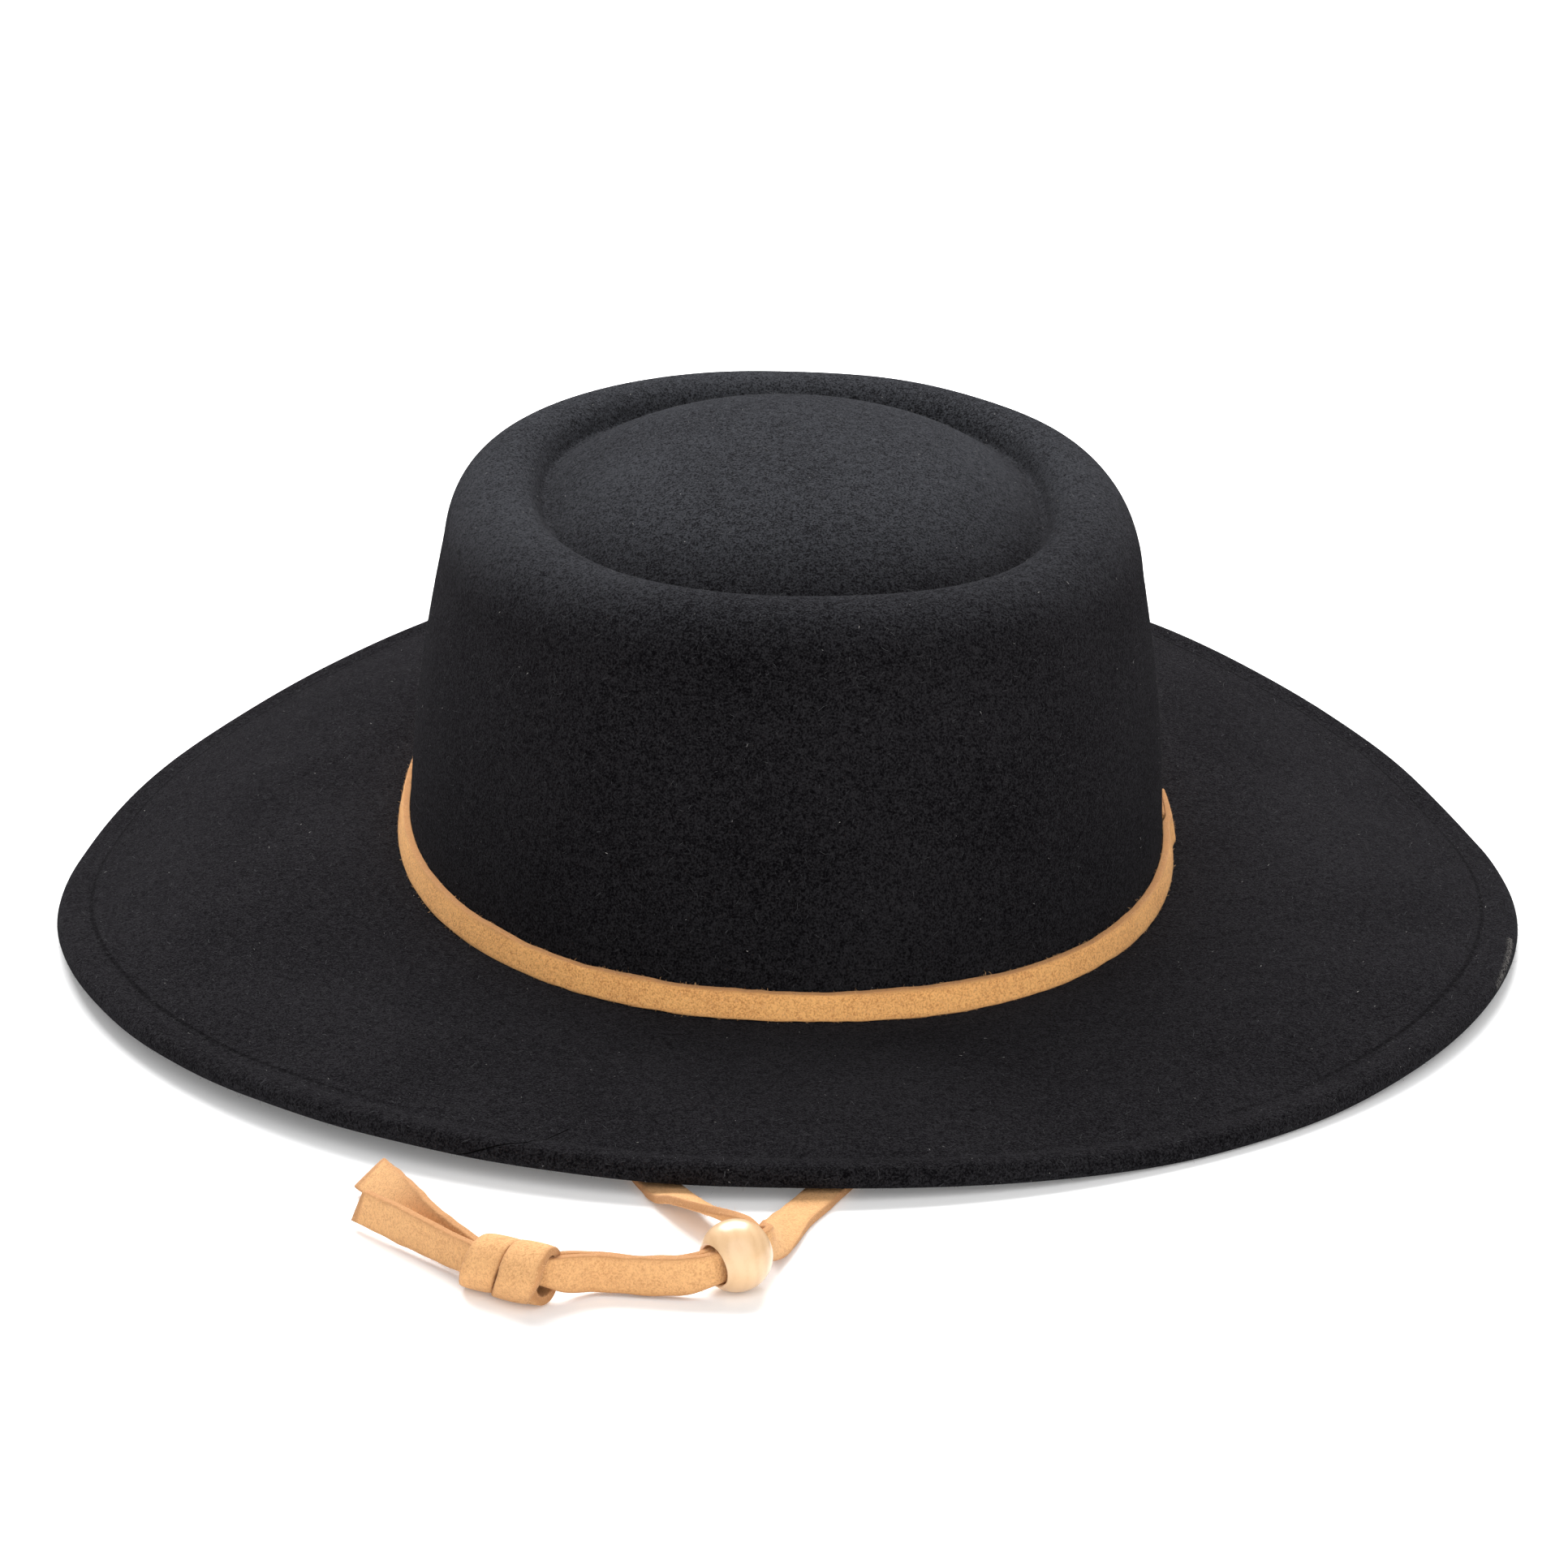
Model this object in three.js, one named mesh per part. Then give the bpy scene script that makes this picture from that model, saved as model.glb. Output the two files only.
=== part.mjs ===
// Wide-brim felt hat with a rounded, grooved crown, a suede band and a chin lace with a wooden bead.
// Millimetres, +Z up, z = 0 is the surface the hat rests on, the front of the hat faces -Y.
import * as THREE from 'three';

// sizes
const feltWall = 2.4;
const frontShift = -1.48;       // brings the middle of the brim's length to y = 0

// the foot of the crown and its top are rounded ovals; power 2 would be an ellipse
const base = { halfWidth: 88, halfLength: 111.6, power: 2.12, egg: 0 };
const crownTop = { halfWidth: 78.5, halfLength: 90.3, power: 2.27, egg: 0.02, back: 2.8 };
const crownPose = { pitchDeg: 6.0, leanDeg: 1.46, x: -0.3, y: -0.3, z: 20.1 };
const crownHeight = 81;
const crownSideDip = -0.66;     // how much lower the rim is at the sides
const breakDip = -1.5;          // how much lower the foot of the crown is at the sides
const wallBulge = 1.6;          // how far the crown wall swells at half height
const rim = { outerRadius: 15.3, innerRadius: 9.4, innerDegs: [55, 27], grooveDepth: 8 };
const dome = { edgeDrop: 7.4, rise: 18, power: 2.9, back: -2.25, backRise: 1.9, reach: 0.97 };

const brimWidth = { mean: 76.2, back: 1.5, ends: -0.9, corners: 0.8 };
const brimDroop = 0.225;
const brimHalfThickness = 1.2;
// folded edge: a round lip, and the soft step where the fold is stitched down
const hem = { radius: 2.4, inset: 5.5, stepIn: 1.3, foldRun: 1.2, foldDrop: 0.35, stitchDrop: 0.1,
  underRun: 0.4, flatReach: 0.35, lipDegs: [100, 55, 15, -25, -62, -95] };

// height of the middle of the hem above the surface, going round from the wearer's left
const hemHeights = [
  { deg: 0, height: 2.5 }, { deg: 6, height: 2.3 }, { deg: 12, height: 2.4 }, { deg: 20, height: 4.5 },
  { deg: 30, height: 8.6 }, { deg: 40, height: 13.4 }, { deg: 50, height: 19.2 }, { deg: 62, height: 25.7 },
  { deg: 76, height: 30.6 }, { deg: 90, height: 31.8 }, { deg: 104, height: 29.0 }, { deg: 118, height: 22.8 },
  { deg: 130, height: 15.8 }, { deg: 140, height: 10.8 }, { deg: 150, height: 7.1 }, { deg: 160, height: 4.2 },
  { deg: 168, height: 2.4 }, { deg: 174, height: 2.3 }, { deg: 182, height: 2.9 }, { deg: 196, height: 5.1 },
  { deg: 212, height: 5.8 }, { deg: 230, height: 6.2 }, { deg: 246, height: 6.1 }, { deg: 258, height: 5.6 },
  { deg: 272, height: 5.0 }, { deg: 284, height: 3.6 }, { deg: 294, height: 2.4 }, { deg: 300, height: 2.3 },
  { deg: 307, height: 2.4 }, { deg: 318, height: 3.5 }, { deg: 334, height: 4.1 }, { deg: 350, height: 3.3 },
];

// suede band: a strip laid round the foot of the crown, its end lapped over its start
const band = { thickness: 1.7, bottom: 0.35, top: 6.3, flare: 0.8, edge: 0.25, bevel: 0.5, topThin: 0.35,
  startDeg: -7, lapDeg: 9, rampDeg: 5, rampEndDeg: 0.6, gap: 0.3, wallGap: 0.05 };

const lace = { thickness: 1.7, edge: 0.45 };
const bead = { x: -17.7, y: -232.7, z: 7.0, radius: 6.9, boreRadius: 3.95, boreEdge: 0.35 };
const boreAxis = new THREE.Vector3(-0.8, -0.58, -0.145).normalize();

// Paths of the laces: middle line, roll about it (0 lies flat, 90 stands on edge), width,
// and side, the sideways shift where two laces lie together.
const leftLacePath = [
  { x: 81.2, y: 12, z: 31, roll: -90, width: 7.8, side: 0 },
  { x: 81.0, y: 6, z: 24, roll: -90, width: 7.8, side: 0 },
  { x: 80.0, y: -2, z: 15, roll: -85, width: 7.8, side: 0 },
  { x: 77.5, y: -12, z: 7.5, roll: -60, width: 7.8, side: 0 },
  { x: 73.5, y: -24, z: 3.2, roll: -20, width: 7.8, side: 0 },
  { x: 68, y: -38, z: 1.3, roll: -2, width: 7.8, side: 0 },
  { x: 57, y: -63, z: 1.1, roll: 0, width: 7.8, side: 0 },
  { x: 43, y: -94, z: 1.1, roll: 0, width: 7.8, side: 0 },
  { x: 27, y: -128, z: 1.1, roll: 0, width: 7.8, side: 0 },
  { x: 12.5, y: -159, z: 1.1, roll: 0, width: 7.8, side: 0 },
  { x: 2.6, y: -182, z: 1.1, roll: 0, width: 7.8, side: 0 },
  { x: -2.8, y: -194, z: 1.1, roll: 0, width: 7.8, side: 0 },
  { x: -6.1, y: -201.2, z: 1.35, roll: -4, width: 7.8, side: 0 },
  { x: -7.9, y: -207.2, z: 2, roll: -15, width: 7.8, side: 0 },
  { x: -9.6, y: -213.8, z: 3.2, roll: -36, width: 7.8, side: 0.1 },
  { x: -11, y: -219.8, z: 4.6, roll: -60, width: 7.5, side: 0.4 },
  { x: -12, y: -225, z: 6.4, roll: -82, width: 6.8, side: 0.8 },
  { x: -13.0, y: -229.3, z: 7.8, roll: -90, width: 6.3, side: 1.025 },
  { x: -17.7, y: -232.7, z: 7.0, roll: -90, width: 6.3, side: 1.025 },
  { x: -22.3, y: -236.0, z: 6.2, roll: -90, width: 6.4, side: 1.025 },
  { x: -26.6, y: -236.4, z: 5.2, roll: -90, width: 7.2, side: 1.025 },
  { x: -31.5, y: -235.6, z: 4.7, roll: -90, width: 7.4, side: 1.025 },
  { x: -38, y: -234.3, z: 4.5, roll: -90, width: 7.4, side: 1.025 },
  { x: -44.0, y: -233.7, z: 4.8, roll: -90, width: 7.3, side: 1.025 },
  { x: -49.6, y: -236.6, z: 5.9, roll: -90, width: 7.0, side: 1.025 },
];
const rightLacePath = [
  { x: -80.9, y: 12, z: 35, roll: 90, width: 7.8, side: 0 },
  { x: -80.6, y: 6, z: 28, roll: 90, width: 7.8, side: 0 },
  { x: -79.8, y: -2, z: 18, roll: 85, width: 7.8, side: 0 },
  { x: -78.0, y: -12, z: 9, roll: 60, width: 7.8, side: 0 },
  { x: -74.5, y: -24, z: 3.4, roll: 20, width: 7.8, side: 0 },
  { x: -70, y: -38, z: 1.35, roll: 2, width: 7.8, side: 0 },
  { x: -62, y: -66, z: 1.1, roll: 0, width: 7.8, side: 0 },
  { x: -53, y: -98, z: 1.1, roll: 0, width: 7.8, side: 0 },
  { x: -44.6, y: -130, z: 1.1, roll: 0, width: 7.8, side: 0 },
  { x: -38.6, y: -154, z: 1.1, roll: 0, width: 7.8, side: 0 },
  { x: -34.6, y: -170, z: 1.1, roll: 0, width: 7.8, side: 0 },
  { x: -31.7, y: -180.5, z: 1.1, roll: 0, width: 7.8, side: 0 },
  { x: -29.2, y: -188.6, z: 1.7, roll: 0, width: 7.8, side: 0 },
  { x: -26.6, y: -195.2, z: 3.1, roll: -16, width: 7.8, side: 0 },
  { x: -22.9, y: -202.8, z: 4.4, roll: -25, width: 7.8, side: 0 },
  { x: -19.3, y: -209, z: 5.2, roll: -36, width: 7.6, side: 0 },
  { x: -16.4, y: -215.2, z: 6, roll: -54, width: 7.2, side: -0.3 },
  { x: -14.0, y: -222.3, z: 7.0, roll: -82, width: 6.7, side: -0.8 },
  { x: -13.0, y: -229.3, z: 7.8, roll: -90, width: 6.3, side: -1.025 },
  { x: -17.7, y: -232.7, z: 7.0, roll: -90, width: 6.3, side: -1.025 },
  { x: -22.3, y: -236.0, z: 6.1, roll: -90, width: 6.3, side: -1.025 },
  { x: -26.6, y: -236.4, z: 4.9, roll: -90, width: 6.9, side: -1.025 },
  { x: -31.5, y: -235.6, z: 4.3, roll: -90, width: 7.0, side: -1.025 },
  { x: -38, y: -234.3, z: 4.1, roll: -90, width: 7.0, side: -1.025 },
  { x: -44.0, y: -233.7, z: 4.5, roll: -90, width: 7.0, side: -1.025 },
  { x: -49.6, y: -236.6, z: 5.8, roll: -90, width: 6.8, side: -1.025 },
];
const frontTailPath = [
  { x: -68.1, y: -225.6, z: 5.2, roll: -90, width: 7.0, side: 0.9 },
  { x: -76.4, y: -215.4, z: 5.1, roll: -90, width: 7.4, side: 0.6 },
  { x: -83.0, y: -207.4, z: 5.1, roll: -88, width: 7.6, side: 0.2 },
  { x: -89.4, y: -199.6, z: 5.0, roll: -86, width: 7.2, side: 0 },
];
const backTailPath = [
  { x: -68.3, y: -224.7, z: 5.3, roll: -90, width: 7.0, side: -1.1 },
  { x: -75.8, y: -211.6, z: 5.6, roll: -84, width: 7.6, side: -0.9 },
  { x: -82.2, y: -195.6, z: 5.1, roll: -62, width: 7.8, side: -0.4 },
  { x: -87.9, y: -181, z: 4, roll: -44, width: 7.8, side: 0 },
];
// overhand knot, plainly shaped: a round core with two slanting wraps side by side, thinner to the left
const knot = {
  right: new THREE.Vector3(-52.2, -240.4, 6.2),
  left: new THREE.Vector3(-69.2, -227.4, 5.2),
  coreRadius: 4.35, wrapHeight: 1.75, wrapHalf: 3.6, wrapRamp: 0.7, wrapSpacing: 4.3, slant: 2.5,
  taper: 0.17, endPower: 8, endRadius: 0.45,
};

// steps round and along
const laceSteps = { leftLace: 66, rightLace: 66, tail: 7 };
const beadSteps = { round: 24, outside: 9 };
const knotSteps = { round: 30, along: 20 };
const roundSteps = 60;
const bandSteps = 62;
const innerSkips = [1, 4, 8, 18, 20, 24];   // rows that the inside of the crown does without
const ringRows = { dome: 7, rimOuter: 5, wall: 5, brim: 4 };

// helpers
const rad = THREE.MathUtils.degToRad;
const tau = Math.PI * 2;

function oval(shape, t) {
  const c = Math.cos(t);
  const s = Math.sin(t);
  const r = (Math.abs(c) ** shape.power + Math.abs(s) ** shape.power) ** (-1 / shape.power);
  return new THREE.Vector2(shape.halfWidth * r * c * (1 + shape.egg * r * s), shape.halfLength * r * s);
}

const angleStep = 0.01;

function ovalNormal(shape, t) {
  const d = oval(shape, t + angleStep).sub(oval(shape, t - angleStep));
  return new THREE.Vector2(d.y, -d.x).normalize();
}

const crownMatrix = new THREE.Matrix4()
  .makeTranslation(crownPose.x, crownPose.y, crownPose.z)
  .multiply(new THREE.Matrix4().makeRotationX(rad(crownPose.pitchDeg)))
  .multiply(new THREE.Matrix4().makeRotationY(rad(crownPose.leanDeg)));

function onCrown(x, y, z) {
  return new THREE.Vector3(x, y, z).applyMatrix4(crownMatrix);
}

// smooth closed curve through a table of angle and value
function roundTable(rows, deg) {
  const n = rows.length;
  const at = (i) => {
    const turn = Math.floor(i / n);
    const row = rows[((i % n) + n) % n];
    return { deg: row.deg + 360 * turn, height: row.height };
  };
  const d = ((deg % 360) + 360) % 360;
  let i = 0;
  while (i < n - 1 && rows[i + 1].deg <= d) i += 1;
  const [p0, p1, p2, p3] = [at(i - 1), at(i), at(i + 1), at(i + 2)];
  const span = p2.deg - p1.deg;
  const u = (d - p1.deg) / span;
  const m1 = ((p2.height - p0.height) / (p2.deg - p0.deg)) * span;
  const m2 = ((p3.height - p1.height) / (p3.deg - p1.deg)) * span;
  const u2 = u * u;
  const u3 = u2 * u;
  return (2 * u3 - 3 * u2 + 1) * p1.height + (u3 - 2 * u2 + u) * m1
    + (3 * u2 - 2 * u3) * p2.height + (u3 - u2) * m2;
}

// closed body from rings of equal length; a ring of one point closes an end
function loft(rings, closedLoop = false) {
  const positions = [];
  const starts = [];
  rings.forEach((ring) => {
    starts.push(positions.length / 3);
    ring.forEach((p) => positions.push(p.x, p.y, p.z));
  });
  const index = [];
  const last = closedLoop ? rings.length : rings.length - 1;
  for (let r = 0; r < last; r += 1) {
    const a = rings[r];
    const b = rings[(r + 1) % rings.length];
    const sa = starts[r];
    const sb = starts[(r + 1) % rings.length];
    const n = Math.max(a.length, b.length);
    for (let i = 0; i < n; i += 1) {
      const j = (i + 1) % n;
      if (a.length === 1) index.push(sa, sb + i, sb + j);
      else if (b.length === 1) index.push(sa + i, sb, sa + j);
      else {
        index.push(sa + i, sb + i, sb + j);
        index.push(sa + i, sb + j, sa + j);
      }
    }
  }
  const geometry = new THREE.BufferGeometry();
  geometry.setAttribute('position', new THREE.Float32BufferAttribute(positions, 3));
  geometry.setIndex(index);
  return faceOut(geometry);
}

// turns every triangle round if the enclosed volume comes out negative
function faceOut(geometry) {
  const p = geometry.attributes.position;
  const index = geometry.index.array;
  const [a, b, c] = [new THREE.Vector3(), new THREE.Vector3(), new THREE.Vector3()];
  let volume = 0;
  for (let i = 0; i < index.length; i += 3) {
    a.fromBufferAttribute(p, index[i]);
    b.fromBufferAttribute(p, index[i + 1]);
    c.fromBufferAttribute(p, index[i + 2]);
    volume += a.dot(b.cross(c));
  }
  if (volume < 0) {
    for (let i = 0; i < index.length; i += 3) {
      [index[i + 1], index[i + 2]] = [index[i + 2], index[i + 1]];
    }
  }
  geometry.computeVertexNormals();
  return geometry;
}

const materials = {
  felt: new THREE.MeshStandardMaterial({ name: 'black_felt', color: 0x17181b, roughness: 0.95 }),
  suede: new THREE.MeshStandardMaterial({ name: 'tan_suede', color: 0xd9a066, roughness: 0.9 }),
  wood: new THREE.MeshStandardMaterial({ name: 'pale_wood', color: 0xf0cf9a, roughness: 0.35 }),
};

function piece(name, geometry, material) {
  const mesh = new THREE.Mesh(geometry, material);
  mesh.name = name;
  return mesh;
}

// felt body
// outside of the crown at angle t, going from the middle of the dome to the foot of the wall
function crownProfile(t) {
  const top = oval(crownTop, t);
  const topN = ovalNormal(crownTop, t);
  const rimTop = crownHeight + crownSideDip * Math.cos(2 * t);
  const place = (inset, z) => onCrown(top.x - topN.x * inset, top.y + crownTop.back - topN.y * inset, z);
  const rows = [];

  // the dome rises from the bottom of the groove
  const grooveInset = rim.outerRadius + rim.innerRadius;
  const edge = {
    halfWidth: crownTop.halfWidth - grooveInset,
    halfLength: crownTop.halfLength - grooveInset,
    egg: crownTop.egg,
  };
  for (let i = 1; i <= ringRows.dome; i += 1) {
    const rho = Math.sin((i / ringRows.dome) * (Math.PI / 2)) * dome.reach;
    const p = oval({ ...edge, power: 2 + (crownTop.power - 2) * rho }, t).multiplyScalar(rho);
    const z = crownHeight - dome.edgeDrop + dome.rise * (1 - rho ** dome.power)
      + dome.backRise * (p.y / edge.halfLength);
    rows.push(onCrown(p.x, p.y + dome.back * (1 - rho * rho) + crownTop.back, z));
  }

  // inner side of the rim, then over the rim to the wall
  rows.push(place(rim.outerRadius + rim.innerRadius * dome.reach, rimTop - rim.grooveDepth));
  rim.innerDegs.forEach((deg) => {
    rows.push(place(rim.outerRadius + rim.innerRadius * Math.sin(rad(deg)),
      rimTop - rim.innerRadius * (1 - Math.cos(rad(deg)))));
  });
  for (let i = 0; i <= ringRows.rimOuter; i += 1) {
    const g = Math.PI / 2 * (1 - i / ringRows.rimOuter);
    rows.push(place(rim.outerRadius * (1 - Math.cos(g)), rimTop - rim.outerRadius * (1 - Math.sin(g))));
  }

  // wall down to its foot behind the band
  const foot = oval(base, t);
  const footInset = band.thickness + band.gap + band.wallGap;
  const footN = ovalNormal(base, t);
  foot.addScaledVector(footN, -footInset);
  const dip = breakDip * Math.cos(2 * t);
  for (let i = 1; i <= ringRows.wall; i += 1) {
    const v = 1 - i / ringRows.wall;
    const bulge = wallBulge * Math.sin(Math.PI * v);
    const x = foot.x + (top.x - foot.x) * v + topN.x * bulge;
    const y = foot.y + (top.y + crownTop.back - foot.y) * v + topN.y * bulge;
    rows.push(onCrown(x, y, dip * (1 - v) + v * (rimTop - rim.outerRadius)));
  }
  return rows;
}

// the brim at angle t: where it leaves the crown, where its hem lies and which way it runs
function brimLine(t) {
  const foot = oval(base, t);
  const n = ovalNormal(base, t);
  const start = onCrown(foot.x + n.x * band.flare, foot.y + n.y * band.flare, breakDip * Math.cos(2 * t));
  const width = brimWidth.mean + brimWidth.back * Math.sin(t) + brimWidth.ends * Math.cos(2 * t)
    + brimWidth.corners * Math.cos(4 * t);
  const end = new THREE.Vector3(foot.x + n.x * width, foot.y + n.y * width,
    roundTable(hemHeights, THREE.MathUtils.radToDeg(t)));
  return { start, end, width, n };
}

function brimPoint(line, k) {
  const g = k - brimDroop * Math.sin(Math.PI * k);
  const p = line.start.clone().lerp(line.end, k);
  p.z = line.start.z + (line.end.z - line.start.z) * g + brimHalfThickness * k;
  return p;
}

function brimProfile(t) {
  const line = brimLine(t);
  const upper = [];
  const inner = 1 - (hem.inset + hem.stepIn) / line.width;
  for (let i = 0; i <= ringRows.brim; i += 1) upper.push(brimPoint(line, inner * (i / ringRows.brim)));
  // direction across the hem, following the slope of the brim's last stretch
  const before = brimPoint(line, inner);
  before.z -= brimHalfThickness * inner;
  const out = line.end.clone().sub(before).normalize();
  const round = new THREE.Vector3(line.n.y, -line.n.x, 0);
  const up = out.clone().cross(round).normalize();
  if (up.z < 0) up.negate();
  const at = (along, high) => line.end.clone().addScaledVector(out, along).addScaledVector(up, high);
  const hemRows = [
    at(-hem.inset, brimHalfThickness - hem.stitchDrop),
    at(-hem.inset + hem.foldRun, hem.radius - hem.foldDrop),
    ...hem.lipDegs.map((deg) => at(hem.radius * Math.cos(rad(deg)), hem.radius * Math.sin(rad(deg)))),
    at(-hem.inset + hem.foldRun, -hem.radius + hem.foldDrop),
    at(-hem.inset - hem.underRun, -brimHalfThickness),
  ];
  // the lowest stretches lie flat on the surface
  hemRows.forEach((p) => { p.z = p.z < hem.flatReach ? 0 : p.z; });
  return { upper, hemRows };
}

function feltBody() {
  const outer = [];
  const hemRings = [];
  for (let i = 0; i < roundSteps; i += 1) {
    const t = (i / roundSteps) * tau;
    const crown = crownProfile(t);
    const brim = brimProfile(t);
    [...crown, ...brim.upper].forEach((p, r) => {
      outer[r] = outer[r] || [];
      outer[r].push(p);
    });
    brim.hemRows.forEach((p, r) => {
      hemRings[r] = hemRings[r] || [];
      hemRings[r].push(p);
    });
  }
  const pole = onCrown(0, crownTop.back + dome.back, crownHeight - dome.edgeDrop + dome.rise);
  const inner = insideOf(outer, feltWall);
  const poleIn = pole.clone().sub(new THREE.Vector3(0, 0, feltWall));
  const under = inner.filter((ring, r) => !innerSkips.includes(r)).reverse();
  return loft([[pole], ...outer, ...hemRings, ...under, [poleIn]]);
}

const sharpestTurn = 0.75;      // cosine at which a corner stops pushing the inside further

// moves each row of points inward by the wall, square to the surface
function insideOf(rows, wall) {
  const count = rows[0].length;
  return rows.map((ring, r) => ring.map((p, i) => {
    const round = ring[(i + 1) % count].clone().sub(ring[(i - 1 + count) % count]);
    const before = rows[Math.max(r - 1, 0)][i];
    const after = rows[Math.min(r + 1, rows.length - 1)][i];
    const intoSurface = (dir) => dir.cross(round).normalize();
    const n1 = r > 0 ? intoSurface(p.clone().sub(before)) : null;
    const n2 = r < rows.length - 1 ? intoSurface(after.clone().sub(p)) : null;
    const n = new THREE.Vector3();
    if (n1) n.add(n1);
    if (n2) n.add(n2);
    n.normalize();
    const open = n1 && n2 ? Math.max(n.dot(n1), sharpestTurn) : 1;
    return p.clone().addScaledVector(n, -wall / open);
  }));
}

// hat band
function hatBand() {
  const rings = [];
  const total = 360 + band.lapDeg;
  for (let i = 0; i <= bandSteps; i += 1) {
    const along = (i / bandSteps) * total;
    const t = rad(band.startDeg + along);
    const lifted = THREE.MathUtils.smoothstep(along, 360 - band.rampDeg, 360 - band.rampEndDeg);
    const lift = lifted * (band.thickness + band.gap);
    const p = oval(base, t);
    const n = ovalNormal(base, t);
    const dip = breakDip * Math.cos(2 * t);
    const at = (out, z) => onCrown(p.x + n.x * (out + lift), p.y + n.y * (out + lift), z + dip);
    rings.push([
      at(band.flare - band.thickness + band.edge, band.bottom),
      at(band.flare - band.edge, band.bottom),
      at(band.flare, band.bottom + band.bevel),
      at(-band.flare, band.top - band.bevel),
      at(-band.flare - band.edge, band.top),
      at(-band.flare - band.thickness + band.edge + band.topThin, band.top),
    ]);
  }
  return closeEnds(rings);
}

// closes the two ends of a swept strip with a point in the middle of each
function closeEnds(rings) {
  const middle = (ring) => ring.reduce((sum, p) => sum.add(p), new THREE.Vector3()).divideScalar(ring.length);
  return loft([[middle(rings[0])], ...rings, [middle(rings[rings.length - 1])]]);
}

// laces
const laceColumns = ['x', 'y', 'z', 'roll', 'width', 'side'];

// smooth curve through the rows of a path, at a position counted in rows
function rowAt(rows, position) {
  const i = Math.min(Math.floor(position), rows.length - 2);
  const u = position - i;
  const [p0, p1, p2, p3] = [-1, 0, 1, 2].map((k) => rows[THREE.MathUtils.clamp(i + k, 0, rows.length - 1)]);
  const row = {};
  laceColumns.forEach((key) => {
    const [a, b, c, d] = [p0[key], p1[key], p2[key], p3[key]];
    const square = 2 * a - 5 * b + 4 * c - d;
    const cube = 3 * b - a - 3 * c + d;
    row[key] = 0.5 * (2 * b + (c - a) * u + square * u * u + cube * u * u * u);
  });
  return row;
}

function flatLace(rows, steps) {
  const samples = [];
  for (let i = 0; i <= steps; i += 1) samples.push(rowAt(rows, (i / steps) * (rows.length - 1)));
  const middle = samples.map((row) => new THREE.Vector3(row.x, row.y, row.z));
  const rings = samples.map((row, i) => {
    const ahead = middle[Math.min(i + 1, steps)];
    const behind = middle[Math.max(i - 1, 0)];
    const along = ahead.clone().sub(behind).normalize();
    const across = new THREE.Vector3(-along.y, along.x, 0).normalize();
    const high = along.clone().cross(across).normalize();
    const roll = rad(row.roll);
    const wide = across.clone().multiplyScalar(Math.cos(roll)).addScaledVector(high, Math.sin(roll));
    const thick = along.clone().cross(wide).normalize();
    const centre = middle[i].clone().addScaledVector(across, row.side);
    const halfWide = row.width / 2;
    const halfThick = lace.thickness / 2;
    const section = [
      [halfWide, halfThick - lace.edge], [halfWide - lace.edge, halfThick],
      [-halfWide + lace.edge, halfThick], [-halfWide, halfThick - lace.edge],
      [-halfWide, -halfThick + lace.edge], [-halfWide + lace.edge, -halfThick],
      [halfWide - lace.edge, -halfThick], [halfWide, -halfThick + lace.edge],
    ];
    return section.map(([w, h]) => centre.clone().addScaledVector(wide, w).addScaledVector(thick, h));
  });
  return closeEnds(rings);
}

// bead
function slideBead() {
  const side = new THREE.Vector3(-boreAxis.y, boreAxis.x, 0).normalize();
  const high = boreAxis.clone().cross(side).normalize();
  const centre = new THREE.Vector3(bead.x, bead.y, bead.z);
  const faceAngle = Math.asin((bead.boreRadius + bead.boreEdge) / bead.radius);
  const profile = [];
  for (let i = 0; i <= beadSteps.outside; i += 1) {
    const a = faceAngle + (Math.PI - 2 * faceAngle) * (i / beadSteps.outside);
    profile.push([bead.radius * Math.cos(a), bead.radius * Math.sin(a)]);
  }
  const mouth = bead.radius * Math.cos(faceAngle);
  profile.push([-mouth + bead.boreEdge, bead.boreRadius], [mouth - bead.boreEdge, bead.boreRadius]);
  const rings = profile.map(([x, r]) => Array.from({ length: beadSteps.round }, (unused, i) => {
    const a = (i / beadSteps.round) * tau;
    return centre.clone().addScaledVector(boreAxis, x)
      .addScaledVector(side, r * Math.cos(a)).addScaledVector(high, r * Math.sin(a));
  }));
  return loft(rings, true);
}

// knot
// two wraps side by side run slantwise round the core
function laceKnot() {
  const axis = knot.left.clone().sub(knot.right);
  const length = axis.length();
  axis.normalize();
  const side = new THREE.Vector3(-axis.y, axis.x, 0).normalize();
  const high = axis.clone().cross(side).normalize();
  const rings = [];
  for (let i = 0; i <= knotSteps.along; i += 1) {
    const s = i / knotSteps.along;
    const x = length * s;
    const centre = knot.right.clone().addScaledVector(axis, x);
    const endDrop = Math.sqrt(Math.max(0, 1 - Math.abs(2 * s - 1) ** knot.endPower));
    const size = Math.min(1, endDrop + knot.endRadius) * (1 - knot.taper * s);
    rings.push(Array.from({ length: knotSteps.round }, (unused, j) => {
      const a = (j / knotSteps.round) * tau;
      const slanted = x - length / 2 + knot.slant * Math.cos(a);
      const toWrap = Math.min(Math.abs(slanted - knot.wrapSpacing), Math.abs(slanted + knot.wrapSpacing));
      const wrap = 1 - THREE.MathUtils.smoothstep(toWrap, knot.wrapHalf, knot.wrapHalf + knot.wrapRamp);
      const r = (knot.coreRadius + knot.wrapHeight * wrap) * size;
      return centre.clone().addScaledVector(side, r * Math.cos(a)).addScaledVector(high, r * Math.sin(a));
    }));
  }
  return closeEnds(rings);
}

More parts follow.
